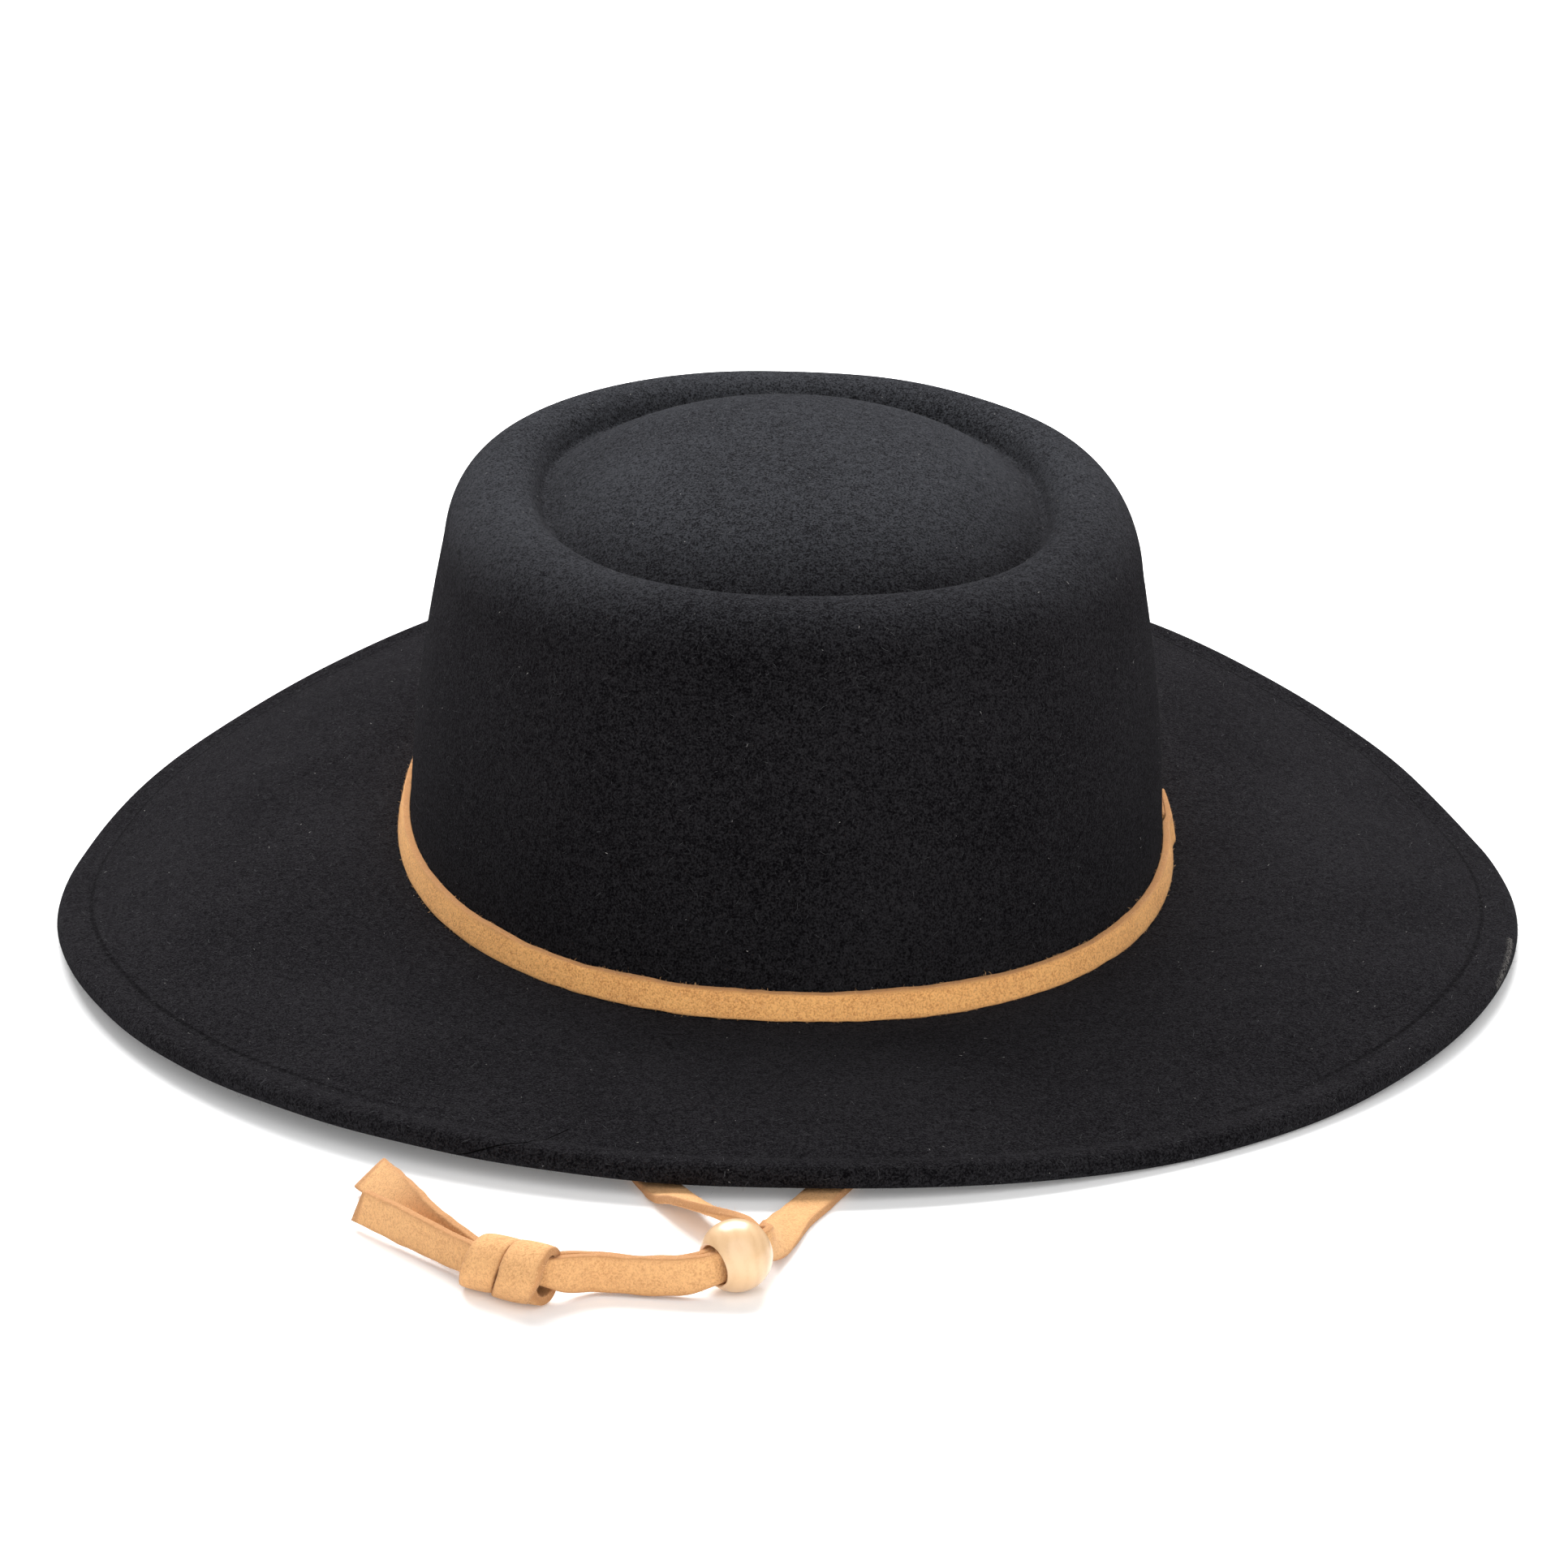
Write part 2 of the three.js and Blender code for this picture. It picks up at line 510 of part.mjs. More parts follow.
// assembly
const hat = new THREE.Group();
hat.name = 'felt_hat';
hat.position.y = frontShift;
hat.add(piece('felt_body', feltBody(), materials.felt));
hat.add(piece('hat_band', hatBand(), materials.suede));
hat.add(piece('chin_lace_left', flatLace(leftLacePath, laceSteps.leftLace), materials.suede));
hat.add(piece('chin_lace_right', flatLace(rightLacePath, laceSteps.rightLace), materials.suede));
hat.add(piece('slide_bead', slideBead(), materials.wood));
hat.add(piece('lace_knot', laceKnot(), materials.suede));
hat.add(piece('lace_tail_front', flatLace(frontTailPath, laceSteps.tail), materials.suede));
hat.add(piece('lace_tail_back', flatLace(backTailPath, laceSteps.tail), materials.suede));
export default hat;
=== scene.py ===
# Black felt hat with a suede band and a chin lace with a wooden bead, lying on a white surface.
# Metres in the scene. The shape tables are in millimetres: z = 0 is the surface, the front faces -Y.
import math
import bpy
import numpy as np
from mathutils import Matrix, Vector


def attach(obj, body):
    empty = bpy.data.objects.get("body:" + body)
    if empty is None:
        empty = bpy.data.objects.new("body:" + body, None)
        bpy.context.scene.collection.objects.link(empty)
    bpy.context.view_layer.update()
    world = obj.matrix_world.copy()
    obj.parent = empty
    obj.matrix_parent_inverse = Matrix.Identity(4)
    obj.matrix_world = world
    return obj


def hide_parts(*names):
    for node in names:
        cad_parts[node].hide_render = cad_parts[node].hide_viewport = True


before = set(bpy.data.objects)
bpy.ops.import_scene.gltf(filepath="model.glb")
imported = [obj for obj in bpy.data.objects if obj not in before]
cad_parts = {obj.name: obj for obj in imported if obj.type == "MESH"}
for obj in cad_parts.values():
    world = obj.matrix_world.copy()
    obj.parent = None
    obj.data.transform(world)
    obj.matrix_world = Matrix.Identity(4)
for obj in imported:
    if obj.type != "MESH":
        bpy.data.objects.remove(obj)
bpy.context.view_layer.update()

mm = 0.001
frontShift = -1.48              # middle of the brim's length lies at y = 0
tau = 2 * math.pi


# the camera stands where the photograph was taken from
cameraPlace = {
    "azimuth": -2.03, "elevation": 16.81, "distance": 1.1665,
    "target": (-0.52, 0.0, 28.41), "lens": 116.87, "sensor": 36.0,
}


def makeCamera(place):
    azimuth = math.radians(place["azimuth"])
    elevation = math.radians(place["elevation"])
    back = Vector((math.sin(azimuth) * math.cos(elevation),
                   -math.cos(azimuth) * math.cos(elevation), math.sin(elevation)))
    x, y, z = place["target"]
    target = Vector((x, y + frontShift, z)) * mm
    data = bpy.data.cameras.new("camera")
    data.lens = place["lens"]
    data.sensor_width = place["sensor"]
    camera = bpy.data.objects.new("camera", data)
    camera.location = target + back * place["distance"]
    camera.rotation_euler = (math.pi / 2 - elevation, 0, azimuth)
    bpy.context.collection.objects.link(camera)
    bpy.context.scene.camera = camera


# Puts a grid of points into a mesh: rows lie one behind another, each row runs round and closes on
# itself. The ends close with a point each, or the last row joins the first.
def gridPiece(name, grid, material, ring=False, uv=None, attributes=None):
    rows, cols = grid.shape[:2]
    points = grid.reshape(-1, 3)
    r = np.arange(rows if ring else rows - 1)
    c = np.arange(cols)
    a = (r[:, None] * cols + c[None, :]).ravel()
    b = (((r[:, None] + 1) % rows) * cols + c[None, :]).ravel()
    nextC = (c + 1) % cols
    d = (r[:, None] * cols + nextC[None, :]).ravel()
    e = (((r[:, None] + 1) % rows) * cols + nextC[None, :]).ravel()
    quads = np.stack([a, b, e, d], axis=1)
    tris = np.zeros((0, 3), int)
    if not ring:
        first, last = len(points), len(points) + 1
        points = np.vstack([points, grid[0].mean(0), grid[-1].mean(0)])
        startFan = np.stack([np.full(cols, first), c, nextC], axis=1)
        endRow = (rows - 1) * cols
        endFan = np.stack([np.full(cols, last), endRow + nextC, endRow + c], axis=1)
        tris = np.vstack([startFan, endFan])
    if signedVolume(points, quads, tris) < 0:
        quads, tris = quads[:, ::-1], tris[:, ::-1]
    piece = meshPiece(name, points, quads, tris, material)
    if uv is not None:
        setUv(piece.data, uv, rows, cols)
    for key, values in (attributes or {}).items():
        layer = piece.data.attributes.new(key, "FLOAT", "POINT")
        flat = np.zeros(len(points), np.float32)
        flat[:rows * cols] = values.ravel()
        if not ring:
            flat[-2:] = values[0].mean(), values[-1].mean()
        layer.data.foreach_set("value", flat)
    return piece


# volume inside the faces: a sixth of the sum of a . (b x c) over the triangles
def signedVolume(points, quads, tris):
    halves = np.vstack([quads[:, [0, 1, 2]], quads[:, [0, 2, 3]], tris])
    a, b, c = (points[halves[:, k]] for k in range(3))
    return float(np.einsum("ij,ij->i", a, np.cross(b, c)).sum()) / 6


def meshPiece(name, points, quads, tris, material):
    mesh = bpy.data.meshes.new(name)
    mesh.vertices.add(len(points))
    mesh.vertices.foreach_set("co", np.ascontiguousarray(points, np.float32).ravel())
    corners = np.concatenate([quads.ravel(), tris.ravel()]).astype(np.int32)
    mesh.loops.add(len(corners))
    mesh.loops.foreach_set("vertex_index", corners)
    sizes = np.concatenate([np.full(len(quads), 4), np.full(len(tris), 3)]).astype(np.int32)
    starts = np.concatenate([[0], np.cumsum(sizes)[:-1]]).astype(np.int32)
    mesh.polygons.add(len(sizes))
    mesh.polygons.foreach_set("loop_start", starts)
    mesh.polygons.foreach_set("loop_total", sizes)
    mesh.update(calc_edges=True)
    mesh.validate()
    mesh.polygons.foreach_set("use_smooth", np.ones(len(mesh.polygons), bool))
    mesh.materials.append(material)
    piece = bpy.data.objects.new(name, mesh)
    bpy.context.collection.objects.link(piece)
    return piece


# gives each face corner its place (u, v); the column where the grid closes takes the far value of u
def setUv(mesh, uv, rows, cols):
    u, v = uv
    vertex = np.zeros(len(mesh.loops), np.int32)
    mesh.loops.foreach_get("vertex_index", vertex)
    row = np.minimum(vertex // cols, rows - 1)
    col = vertex % cols
    faceOf = np.repeat(np.arange(len(mesh.polygons)), polygonSizes(mesh))
    highest = np.zeros(len(mesh.polygons), np.int32)
    np.maximum.at(highest, faceOf, col)
    lowest = np.full(len(mesh.polygons), cols, np.int32)
    np.minimum.at(lowest, faceOf, col)
    wraps = (highest[faceOf] == cols - 1) & (lowest[faceOf] == 0) & (col == 0)
    us = u[np.where(wraps, cols, col)]
    vs = v[row, col]
    layer = mesh.uv_layers.new(name="surface")
    layer.data.foreach_set("uv", np.stack([us, vs], axis=1).astype(np.float32).ravel())


def polygonSizes(mesh):
    sizes = np.zeros(len(mesh.polygons), np.int32)
    mesh.polygons.foreach_get("loop_total", sizes)
    return sizes


# vectors scaled to a length of one
def unit(vectors):
    return vectors / np.maximum(np.linalg.norm(vectors, axis=-1, keepdims=True), 1e-9)


# distance of each row of points from the first, measured along the rows
def reachAlong(points):
    steps = np.linalg.norm(np.diff(points, axis=0), axis=-1)
    return np.concatenate([np.zeros_like(steps[:1]), steps.cumsum(0)])


# smooth curve through rows of a table (Catmull-Rom): each column is a cubic between its two middle rows
def curveThrough(table, count):
    table = np.asarray(table, float)
    at = np.linspace(0, len(table) - 1, count)
    i = np.minimum(at.astype(int), len(table) - 2)
    u = (at - i)[:, None]
    p0, p1, p2, p3 = (table[np.clip(i + k, 0, len(table) - 1)] for k in (-1, 0, 1, 2))
    square = 2 * p0 - 5 * p1 + 4 * p2 - p3
    cube = 3 * p1 - p0 - 3 * p2 + p3
    return 0.5 * (2 * p1 + (p2 - p0) * u + square * u ** 2 + cube * u ** 3)


# running mean weighted by a bell curve, along the first axis; closed values run round
def bellSmooth(values, sigma, closed=False):
    reach = max(1, int(3 * sigma))
    offsets = np.arange(-reach, reach + 1)
    weights = np.exp(-0.5 * (offsets / sigma) ** 2)
    weights /= weights.sum()
    index = np.arange(len(values))
    total = np.zeros_like(values, dtype=float)
    for offset, weight in zip(offsets, weights):
        k = index + offset
        k = k % len(values) if closed else np.clip(k, 0, len(values) - 1)
        total += weight * values[k]
    return total


# value noise in one dimension: random values smoothed and scaled to a spread of one
def wander(count, sigma, seed, closed=False):
    noise = np.random.default_rng(seed).normal(0, 1, count)
    smooth = bellSmooth(noise, sigma, closed)
    return smooth / smooth.std()


# uneven line of a cut edge: a fine and a slow wander added up, times the strip's roughness
def raggedEdge(strip, count, seed):
    fine = wander(count, strip["fineSteps"], seed)
    slow = wander(count, strip["slowSteps"], seed + 1)
    return (fine + strip["slowShare"] * slow) * strip["rough"]


# short forms for adding and joining shader nodes
class Nodes:
    def __init__(self, tree):
        self.tree = tree

    def add(self, kind, inputs=None, **settings):
        node = self.tree.nodes.new(kind)
        for key, value in settings.items():
            setattr(node, key, value)
        for key, value in (inputs or {}).items():
            socket = node.inputs[key]
            if isinstance(value, bpy.types.NodeSocket):
                self.tree.links.new(value, socket)
            else:
                socket.default_value = value
        return node

    def math(self, operation, a, b=0.0, c=0.0, clamp=False):
        node = self.add("ShaderNodeMath", {0: a, 1: b, 2: c}, operation=operation, use_clamp=clamp)
        return node.outputs[0]

    def mix(self, factor, a, b):
        node = self.add("ShaderNodeMix", data_type="RGBA", blend_type="MIX")
        for key, value in ((0, factor), (6, a), (7, b)):
            if isinstance(value, bpy.types.NodeSocket):
                self.tree.links.new(value, node.inputs[key])
            else:
                node.inputs[key].default_value = value
        return node.outputs[2]

    def ramp(self, value, low, high, outLow=0.0, outHigh=1.0, smooth=True):
        node = self.add("ShaderNodeMapRange", {0: value, 1: low, 2: high, 3: outLow, 4: outHigh},
                        interpolation_type="SMOOTHSTEP" if smooth else "LINEAR")
        return node.outputs[0]

    def noise(self, vector, scale, detail=3.0, roughness=0.55, distortion=0.0):
        node = self.add("ShaderNodeTexNoise", {"Vector": vector, "Scale": scale, "Detail": detail,
                                               "Roughness": roughness, "Distortion": distortion})
        return node.outputs["Fac"]

    def bump(self, height, look):
        node = self.add("ShaderNodeBump", {"Height": height, "Distance": look["bumpDistance"],
                                           "Strength": look["bumpStrength"]})
        return node.outputs[0]


def newMaterial(name):
    material = bpy.data.materials.new(name)
    material.use_nodes = True
    material.node_tree.nodes.clear()
    nodes = Nodes(material.node_tree)
    output = nodes.add("ShaderNodeOutputMaterial")
    surface = nodes.add("ShaderNodeBsdfPrincipled")
    nodes.tree.links.new(surface.outputs[0], output.inputs["Surface"])
    where = nodes.add("ShaderNodeTexCoord").outputs["Object"]
    return material, nodes, surface, where


def setSurface(nodes, surface, values):
    for key, value in values.items():
        if isinstance(value, bpy.types.NodeSocket):
            nodes.tree.links.new(value, surface.inputs[key])
        else:
            surface.inputs[key].default_value = value


# shares of the three noises in the height and the mottle, and how the streaks are drawn out
fibreMix = {
    "heightFine": 0.6, "heightStreak": 0.18, "heightClump": 0.22, "mottleFine": 0.74, "mottleClump": 0.26,
    "fineDetail": 2.0, "fineRoughness": 0.6, "fineBent": 0.35,
    "clumpDetail": 2.0, "clumpRoughness": 0.5, "clumpBent": 0.5,
    "streakSize": 0.18, "streakBent": 14.0, "streakDetail": 3.0, "streakDetailScale": 3.0,
    "streakRoughness": 0.7,
}


# Matted fibres, shared by the felt and the suede: fine grain, clumps and short streaks, added up by
# their shares. Puts out a height and a mottle, both about 0 to 1.
def makeFibreGroup(shares):
    group = bpy.data.node_groups.new("mattedFibres", "ShaderNodeTree")
    group.interface.new_socket("Vector", in_out="INPUT", socket_type="NodeSocketVector")
    for key in ("Grain", "Clump"):
        group.interface.new_socket(key, in_out="INPUT", socket_type="NodeSocketFloat")
    for key in ("Height", "Mottle"):
        group.interface.new_socket(key, in_out="OUTPUT", socket_type="NodeSocketFloat")
    nodes = Nodes(group)
    entry = nodes.add("NodeGroupInput")
    vector, grain, clump = entry.outputs["Vector"], entry.outputs["Grain"], entry.outputs["Clump"]
    fine = nodes.noise(vector, grain, shares["fineDetail"], shares["fineRoughness"], shares["fineBent"])
    clumps = nodes.noise(vector, clump, shares["clumpDetail"], shares["clumpRoughness"], shares["clumpBent"])
    streak = nodes.add("ShaderNodeTexWave", {
        "Vector": vector, "Scale": nodes.math("MULTIPLY", grain, shares["streakSize"]),
        "Distortion": shares["streakBent"], "Detail": shares["streakDetail"],
        "Detail Scale": shares["streakDetailScale"], "Detail Roughness": shares["streakRoughness"],
    }, wave_type="BANDS").outputs["Fac"]
    height = nodes.math("ADD", nodes.math("MULTIPLY", fine, shares["heightFine"]),
                        nodes.math("MULTIPLY", streak, shares["heightStreak"]))
    height = nodes.math("ADD", height, nodes.math("MULTIPLY", clumps, shares["heightClump"]))
    mottle = nodes.math("ADD", nodes.math("MULTIPLY", clumps, shares["mottleClump"]),
                        nodes.math("MULTIPLY", fine, shares["mottleFine"]))
    leave = nodes.add("NodeGroupOutput")
    group.links.new(height, leave.inputs["Height"])
    group.links.new(mottle, leave.inputs["Mottle"])
    return group


# places the fibres in a material: their height, their mottle, and the tone from dark to light, which is
# the mottle with soft patches added
def placeFibres(nodes, fibres, where, look):
    matted = nodes.add("ShaderNodeGroup", {"Vector": where, "Grain": look["grain"], "Clump": look["clump"]},
                       node_tree=fibres)
    height, mottle = matted.outputs["Height"], matted.outputs["Mottle"]
    patches = nodes.noise(where, look["patchScale"], 2.0, 0.5)
    tone = nodes.math("MULTIPLY_ADD", patches, look["patchShare"], mottle)
    return height, mottle, nodes.ramp(tone, look["toneFrom"], look["toneTo"])


# dull surface with a faint sheen, the fibres raised on it
def setSoftSurface(nodes, surface, colour, height, look):
    setSurface(nodes, surface, {
        "Base Color": colour, "Roughness": look["roughness"], "Specular IOR Level": look["gloss"],
        "Sheen Weight": look["sheen"], "Sheen Roughness": look["sheenRoughness"],
        "Sheen Tint": look["sheenTint"], "Normal": nodes.bump(height, look),
    })


# colours, then sizes: the grain counts per metre, the two heights where the painted light on the crown's top
# begins and is full are in metres, and the joint and the scuff are points (u, v) of the surface map in
# metres; other lengths are millimetres
feltLook = {
    "dark": (0.0028, 0.0026, 0.0031, 1), "light": (0.0200, 0.0192, 0.0212, 1),
    "toneFrom": 0.42, "toneTo": 0.72, "patchScale": 26.0, "patchShare": 0.12,
    "roughness": 0.95, "gloss": 0.0,
    "sheen": 0.031, "sheenRoughness": 0.30, "sheenTint": (0.95, 0.92, 1.0, 1),
    "grain": 2300.0, "clump": 760.0, "bumpDistance": 0.00046, "bumpStrength": 0.9,
    # painted light: grey painted onto the crown's top for the light falling on it from above and behind,
    # with the heights where it begins and ends and how strong it gets
    "paintedTopLight": (0.0500, 0.0524, 0.0590, 1), "paintedTopFrom": 0.082, "paintedTopTo": 0.104,
    "paintedTopLeast": 0.12, "paintedTopMost": 0.86,
    "seam": (0.0012, 0.0012, 0.0012, 1), "seamDepth": 1.2,
    "stitchPitch": 3.4, "stitchReach": 0.85, "stitchDark": 0.60, "betweenStitches": 0.65,
    "frontAt": 0.812, "frontFrom": 0.06, "frontTo": 0.15, "frontLeast": 0.12,
    "joint": [(0.7408, 0.0122), (0.7545, 0.0066), (0.7597, -0.0042)], "jointReach": 0.30,
    "scuff": [(1.0290, 0.0071), (1.0125, 0.0083), (1.0005, 0.0093)], "scuffReach": 1.3,
    "scuffColour": (0.16, 0.15, 0.14, 1), "scuffMost": 0.75, "scuffFrom": 0.40, "scuffTo": 0.62,
}


# Black wool felt: dark and paler fibres matted at about half a millimetre, a soft sheen, and the crown's top
# painted greyer as painted light from above and behind. On the hem: the stitched groove, the slanting joint
# and a pale scuff.
def makeFelt(fibres, look):
    material, nodes, surface, where = newMaterial("blackFelt")
    height, mottle, tone = placeFibres(nodes, fibres, where, look)
    colour = nodes.mix(tone, look["dark"], look["light"])
    high = nodes.add("ShaderNodeSeparateXYZ", {0: where}).outputs[2]
    # painted light: the felt turns paler towards the crown's top, standing in for light from above and
    # behind; the grain still shows through it
    paintedTopLight = nodes.ramp(high, look["paintedTopFrom"], look["paintedTopTo"], 0.0, look["paintedTopMost"])
    paintedTopLight = nodes.math("MULTIPLY", paintedTopLight, nodes.ramp(tone, 0.0, 1.0, look["paintedTopLeast"], 1.0, smooth=False))
    colour = nodes.mix(paintedTopLight, colour, look["paintedTopLight"])
    surfaceMap = nodes.add("ShaderNodeUVMap", uv_map="surface").outputs[0]
    place = nodes.add("ShaderNodeSeparateXYZ", {0: surfaceMap})
    u, v = place.outputs[0], place.outputs[1]
    scuff = lineMask(nodes, u, v, look["scuff"], look["scuffReach"] * mm)
    scuff = nodes.math("MULTIPLY", scuff, nodes.ramp(mottle, look["scuffFrom"], look["scuffTo"]))
    colour = nodes.mix(nodes.math("MULTIPLY", scuff, look["scuffMost"]), colour, look["scuffColour"])
    stitch = nodes.math("MULTIPLY", stitchMask(nodes, look, u, v), look["stitchDark"])
    seams = nodes.math("MAXIMUM", stitch, lineMask(nodes, u, v, look["joint"], look["jointReach"] * mm))
    colour = nodes.mix(seams, colour, look["seam"])
    height = nodes.math("SUBTRACT", height, nodes.math("MULTIPLY", seams, look["seamDepth"]))
    setSoftSurface(nodes, surface, colour, height, look)
    return material


# the stitched line along v = 0 of the surface map: a thin groove, a little deeper at each stitch, and
# pressed almost flat within frontFrom of the front
def stitchMask(nodes, look, u, v):
    pitch, reach = look["stitchPitch"] * mm, look["stitchReach"] * mm
    phase = nodes.math("MULTIPLY", u, tau / pitch)
    wave = nodes.math("MULTIPLY_ADD", nodes.math("COSINE", phase), 0.5, 0.5)
    along = nodes.ramp(wave, 0.1, 0.9, look["betweenStitches"], 1.0)
    across = nodes.ramp(nodes.math("ABSOLUTE", v), reach, reach * 0.15)
    fromFront = nodes.math("ABSOLUTE", nodes.math("SUBTRACT", u, look["frontAt"]))
    shown = nodes.ramp(fromFront, look["frontFrom"], look["frontTo"], look["frontLeast"], 1.0)
    return nodes.math("MULTIPLY", nodes.math("MULTIPLY", along, across), shown)


# 1 on a bent line of the surface map, falling to 0 at the reach: for each stretch a to b the nearest
# place is a + s (b - a) with s = (p - a) . (b - a) / |b - a|^2, kept within 0 and 1
def lineMask(nodes, u, v, points, reach):
    mask = None
    for (au, av), (bu, bv) in zip(points, points[1:]):
        du, dv = bu - au, bv - av
        span = du * du + dv * dv
        s = nodes.math("MULTIPLY_ADD", nodes.math("SUBTRACT", u, au), du / span,
                       nodes.math("MULTIPLY", nodes.math("SUBTRACT", v, av), dv / span), clamp=True)
        offU = nodes.math("SUBTRACT", nodes.math("SUBTRACT", u, au), nodes.math("MULTIPLY", s, du))
        offV = nodes.math("SUBTRACT", nodes.math("SUBTRACT", v, av), nodes.math("MULTIPLY", s, dv))
        square = nodes.math("MULTIPLY_ADD", offU, offU, nodes.math("MULTIPLY", offV, offV))
        one = nodes.ramp(nodes.math("SQRT", square), reach, 0.0)
        mask = one if mask is None else nodes.math("MAXIMUM", mask, one)
    return mask


suedeLook = {
    "laceDark": (0.524, 0.268, 0.107, 1), "laceLight": (0.741, 0.416, 0.182, 1),
    "bandDark": (0.58, 0.238, 0.074, 1), "bandLight": (0.99, 0.530, 0.188, 1),
    "toneFrom": 0.36, "toneTo": 0.70, "patchScale": 90.0, "patchShare": 0.15,
    "edge": (0.44, 0.210, 0.085, 1), "edgeFrom": 0.25, "edgeTo": 0.65, "edgeLeast": 0.45,
    "roughness": 0.92, "gloss": 0.2, "sheen": 0.12, "sheenRoughness": 0.5, "sheenTint": (1.0, 0.86, 0.68, 1),
    "grain": 2400.0, "clump": 900.0, "bumpDistance": 0.00025, "bumpStrength": 0.9,
}


# tan suede: fine nap with paler and browner patches, and darker, ragged cut edges
def makeSuede(fibres, name, dark, light, look):
    material, nodes, surface, where = newMaterial(name)
    height, mottle, tone = placeFibres(nodes, fibres, where, look)
    colour = nodes.mix(tone, dark, light)
    edge = nodes.add("ShaderNodeAttribute", attribute_name="edge").outputs["Fac"]
    ragged = nodes.ramp(mottle, look["edgeFrom"], look["edgeTo"], look["edgeLeast"], 1.0)
    colour = nodes.mix(nodes.math("MULTIPLY", edge, ragged), colour, look["edge"])
    setSoftSurface(nodes, surface, colour, height, look)
    return material


woodLook = {
    "pale": (0.71, 0.47, 0.262, 1), "grain": (0.58, 0.350, 0.175, 1), "toneFrom": 0.35, "toneTo": 0.85,
    "rings": 260.0, "ringBent": 5.0, "ringShare": 0.16, "pores": 2200.0, "poreShare": 0.25,
    "patches": 160.0, "patchShare": 0.55, "turned": (0.3, 0.5, 0.62), "drawnOut": (1.0, 0.25, 1.0),
    "roughness": 0.34, "coat": 0.55, "coatRoughness": 0.25, "bumpDistance": 0.0001, "bumpStrength": 0.15,
}


# pale polished wood: faint rings across the bead, fine pores and soft patches, added up by their shares
def makeWood(look):
    material, nodes, surface, where = newMaterial("paleWood")
    turned = nodes.add("ShaderNodeMapping", {"Vector": where, "Rotation": look["turned"],
                                             "Scale": look["drawnOut"]}).outputs[0]
    rings = nodes.add("ShaderNodeTexWave", {"Vector": turned, "Scale": look["rings"],
                                            "Distortion": look["ringBent"], "Detail": 2.0,
                                            "Detail Scale": 0.6}, wave_type="RINGS").outputs["Fac"]
    pores = nodes.noise(turned, look["pores"], 3.0, 0.6)
    patches = nodes.noise(where, look["patches"], 2.0, 0.5)
    tone = nodes.math("ADD", nodes.math("MULTIPLY", rings, look["ringShare"]),
                      nodes.math("MULTIPLY", pores, look["poreShare"]))
    tone = nodes.math("MULTIPLY_ADD", patches, look["patchShare"], tone)
    colour = nodes.mix(nodes.ramp(tone, look["toneFrom"], look["toneTo"]), look["pale"], look["grain"])
    setSurface(nodes, surface, {
        "Base Color": colour, "Roughness": look["roughness"], "Coat Weight": look["coat"],
        "Coat Roughness": look["coatRoughness"], "Normal": nodes.bump(pores, look),
    })
    return material


# loose fibres and lint: a dull colour with slightly paler places
fibreLook = {"spots": 900.0, "paler": 1.15, "roughness": 0.9}


def makeFibre(name, colour, look):
    material, nodes, surface, where = newMaterial(name)
    tone = nodes.noise(where, look["spots"], 2.0)
    pale = tuple(min(1.0, look["paler"] * k) for k in colour[:3]) + (1,)
    setSurface(nodes, surface, {"Base Color": nodes.mix(tone, colour, pale), "Roughness": look["roughness"]})
    return material


# The felt's sizes, in millimetres. The crown's foot and top are rounded ovals: power 2 is an ellipse.
# Below them: how finely the shape is worked out, and how much it is softened.
feltShape = {
    "wall": 2.4,
    "base": {"halfWidth": 88.0, "halfLength": 111.6, "power": 2.12, "egg": 0.0},
    "top": {"halfWidth": 78.5, "halfLength": 90.3, "power": 2.27, "egg": 0.02},
    "topBack": 2.8, "crownHeight": 81.0, "crownSideDip": -0.66, "breakDip": -1.5, "wallBulge": 1.6,
    "pitch": 6.0, "lean": 1.46, "crownAt": (-0.3, -0.3, 20.1),
    "rimOuter": 15.3, "rimInner": 9.4, "footInset": 2.05, "flare": 0.8,
    "domeDrop": 7.4, "domeRise": 18.0, "domePower": 2.9, "domeBack": -2.25, "domeBackRise": 1.9,
    "domeWiden": 2.6, "domeEdge": 0.985, "rimNarrow": 0.9,
    "brimMean": 76.2, "brimBack": 1.5, "brimEnds": -0.9, "brimCorners": 0.8,
    "brimDroop": 0.225, "brimHalf": 1.2,
    "hemRadius": 2.4, "hemInset": 5.5, "hemStepIn": 1.3, "lipFrom": 100, "lipTo": -105,
    "domeRows": 60, "grooveRows": 22, "grooveFrom": 66, "rimRows": 24, "rimFrom": 86, "wallRows": 30,
    "brimRows": 60, "lipRows": 28, "round": 360,
    "sampleStep": 0.3, "softening": 0.75, "grooveSoftening": 2.2, "grooveReach": 11.0,
    "shellRows": 205, "shellBend": 14.0, "insideRows": 62, "insideBend": 10.0, "bendSmoothing": 3,
    "insideV": 60,              # the inside's place on the surface map, far from the stitching
    "waveHeights": (0.16, 0.12, 0.08), "wavesFrom": 6.0,
}

# height of the middle of the hem above the surface: degrees round from the wearer's left, millimetres
hemHeights = [
    (0, 2.5), (6, 2.3), (12, 2.4), (20, 4.5), (30, 8.6), (40, 13.4), (50, 19.2), (62, 25.7),
    (76, 30.6), (90, 31.8), (104, 29.0), (118, 22.8), (130, 15.8), (140, 10.8), (150, 7.1), (160, 4.2),
    (168, 2.4), (174, 2.3), (182, 2.9), (196, 5.1), (212, 5.8), (230, 6.2), (246, 6.1), (258, 5.6),
    (272, 5.0), (284, 3.6), (294, 2.4), (300, 2.3), (307, 2.4), (318, 3.5), (334, 4.1), (350, 3.3),
]


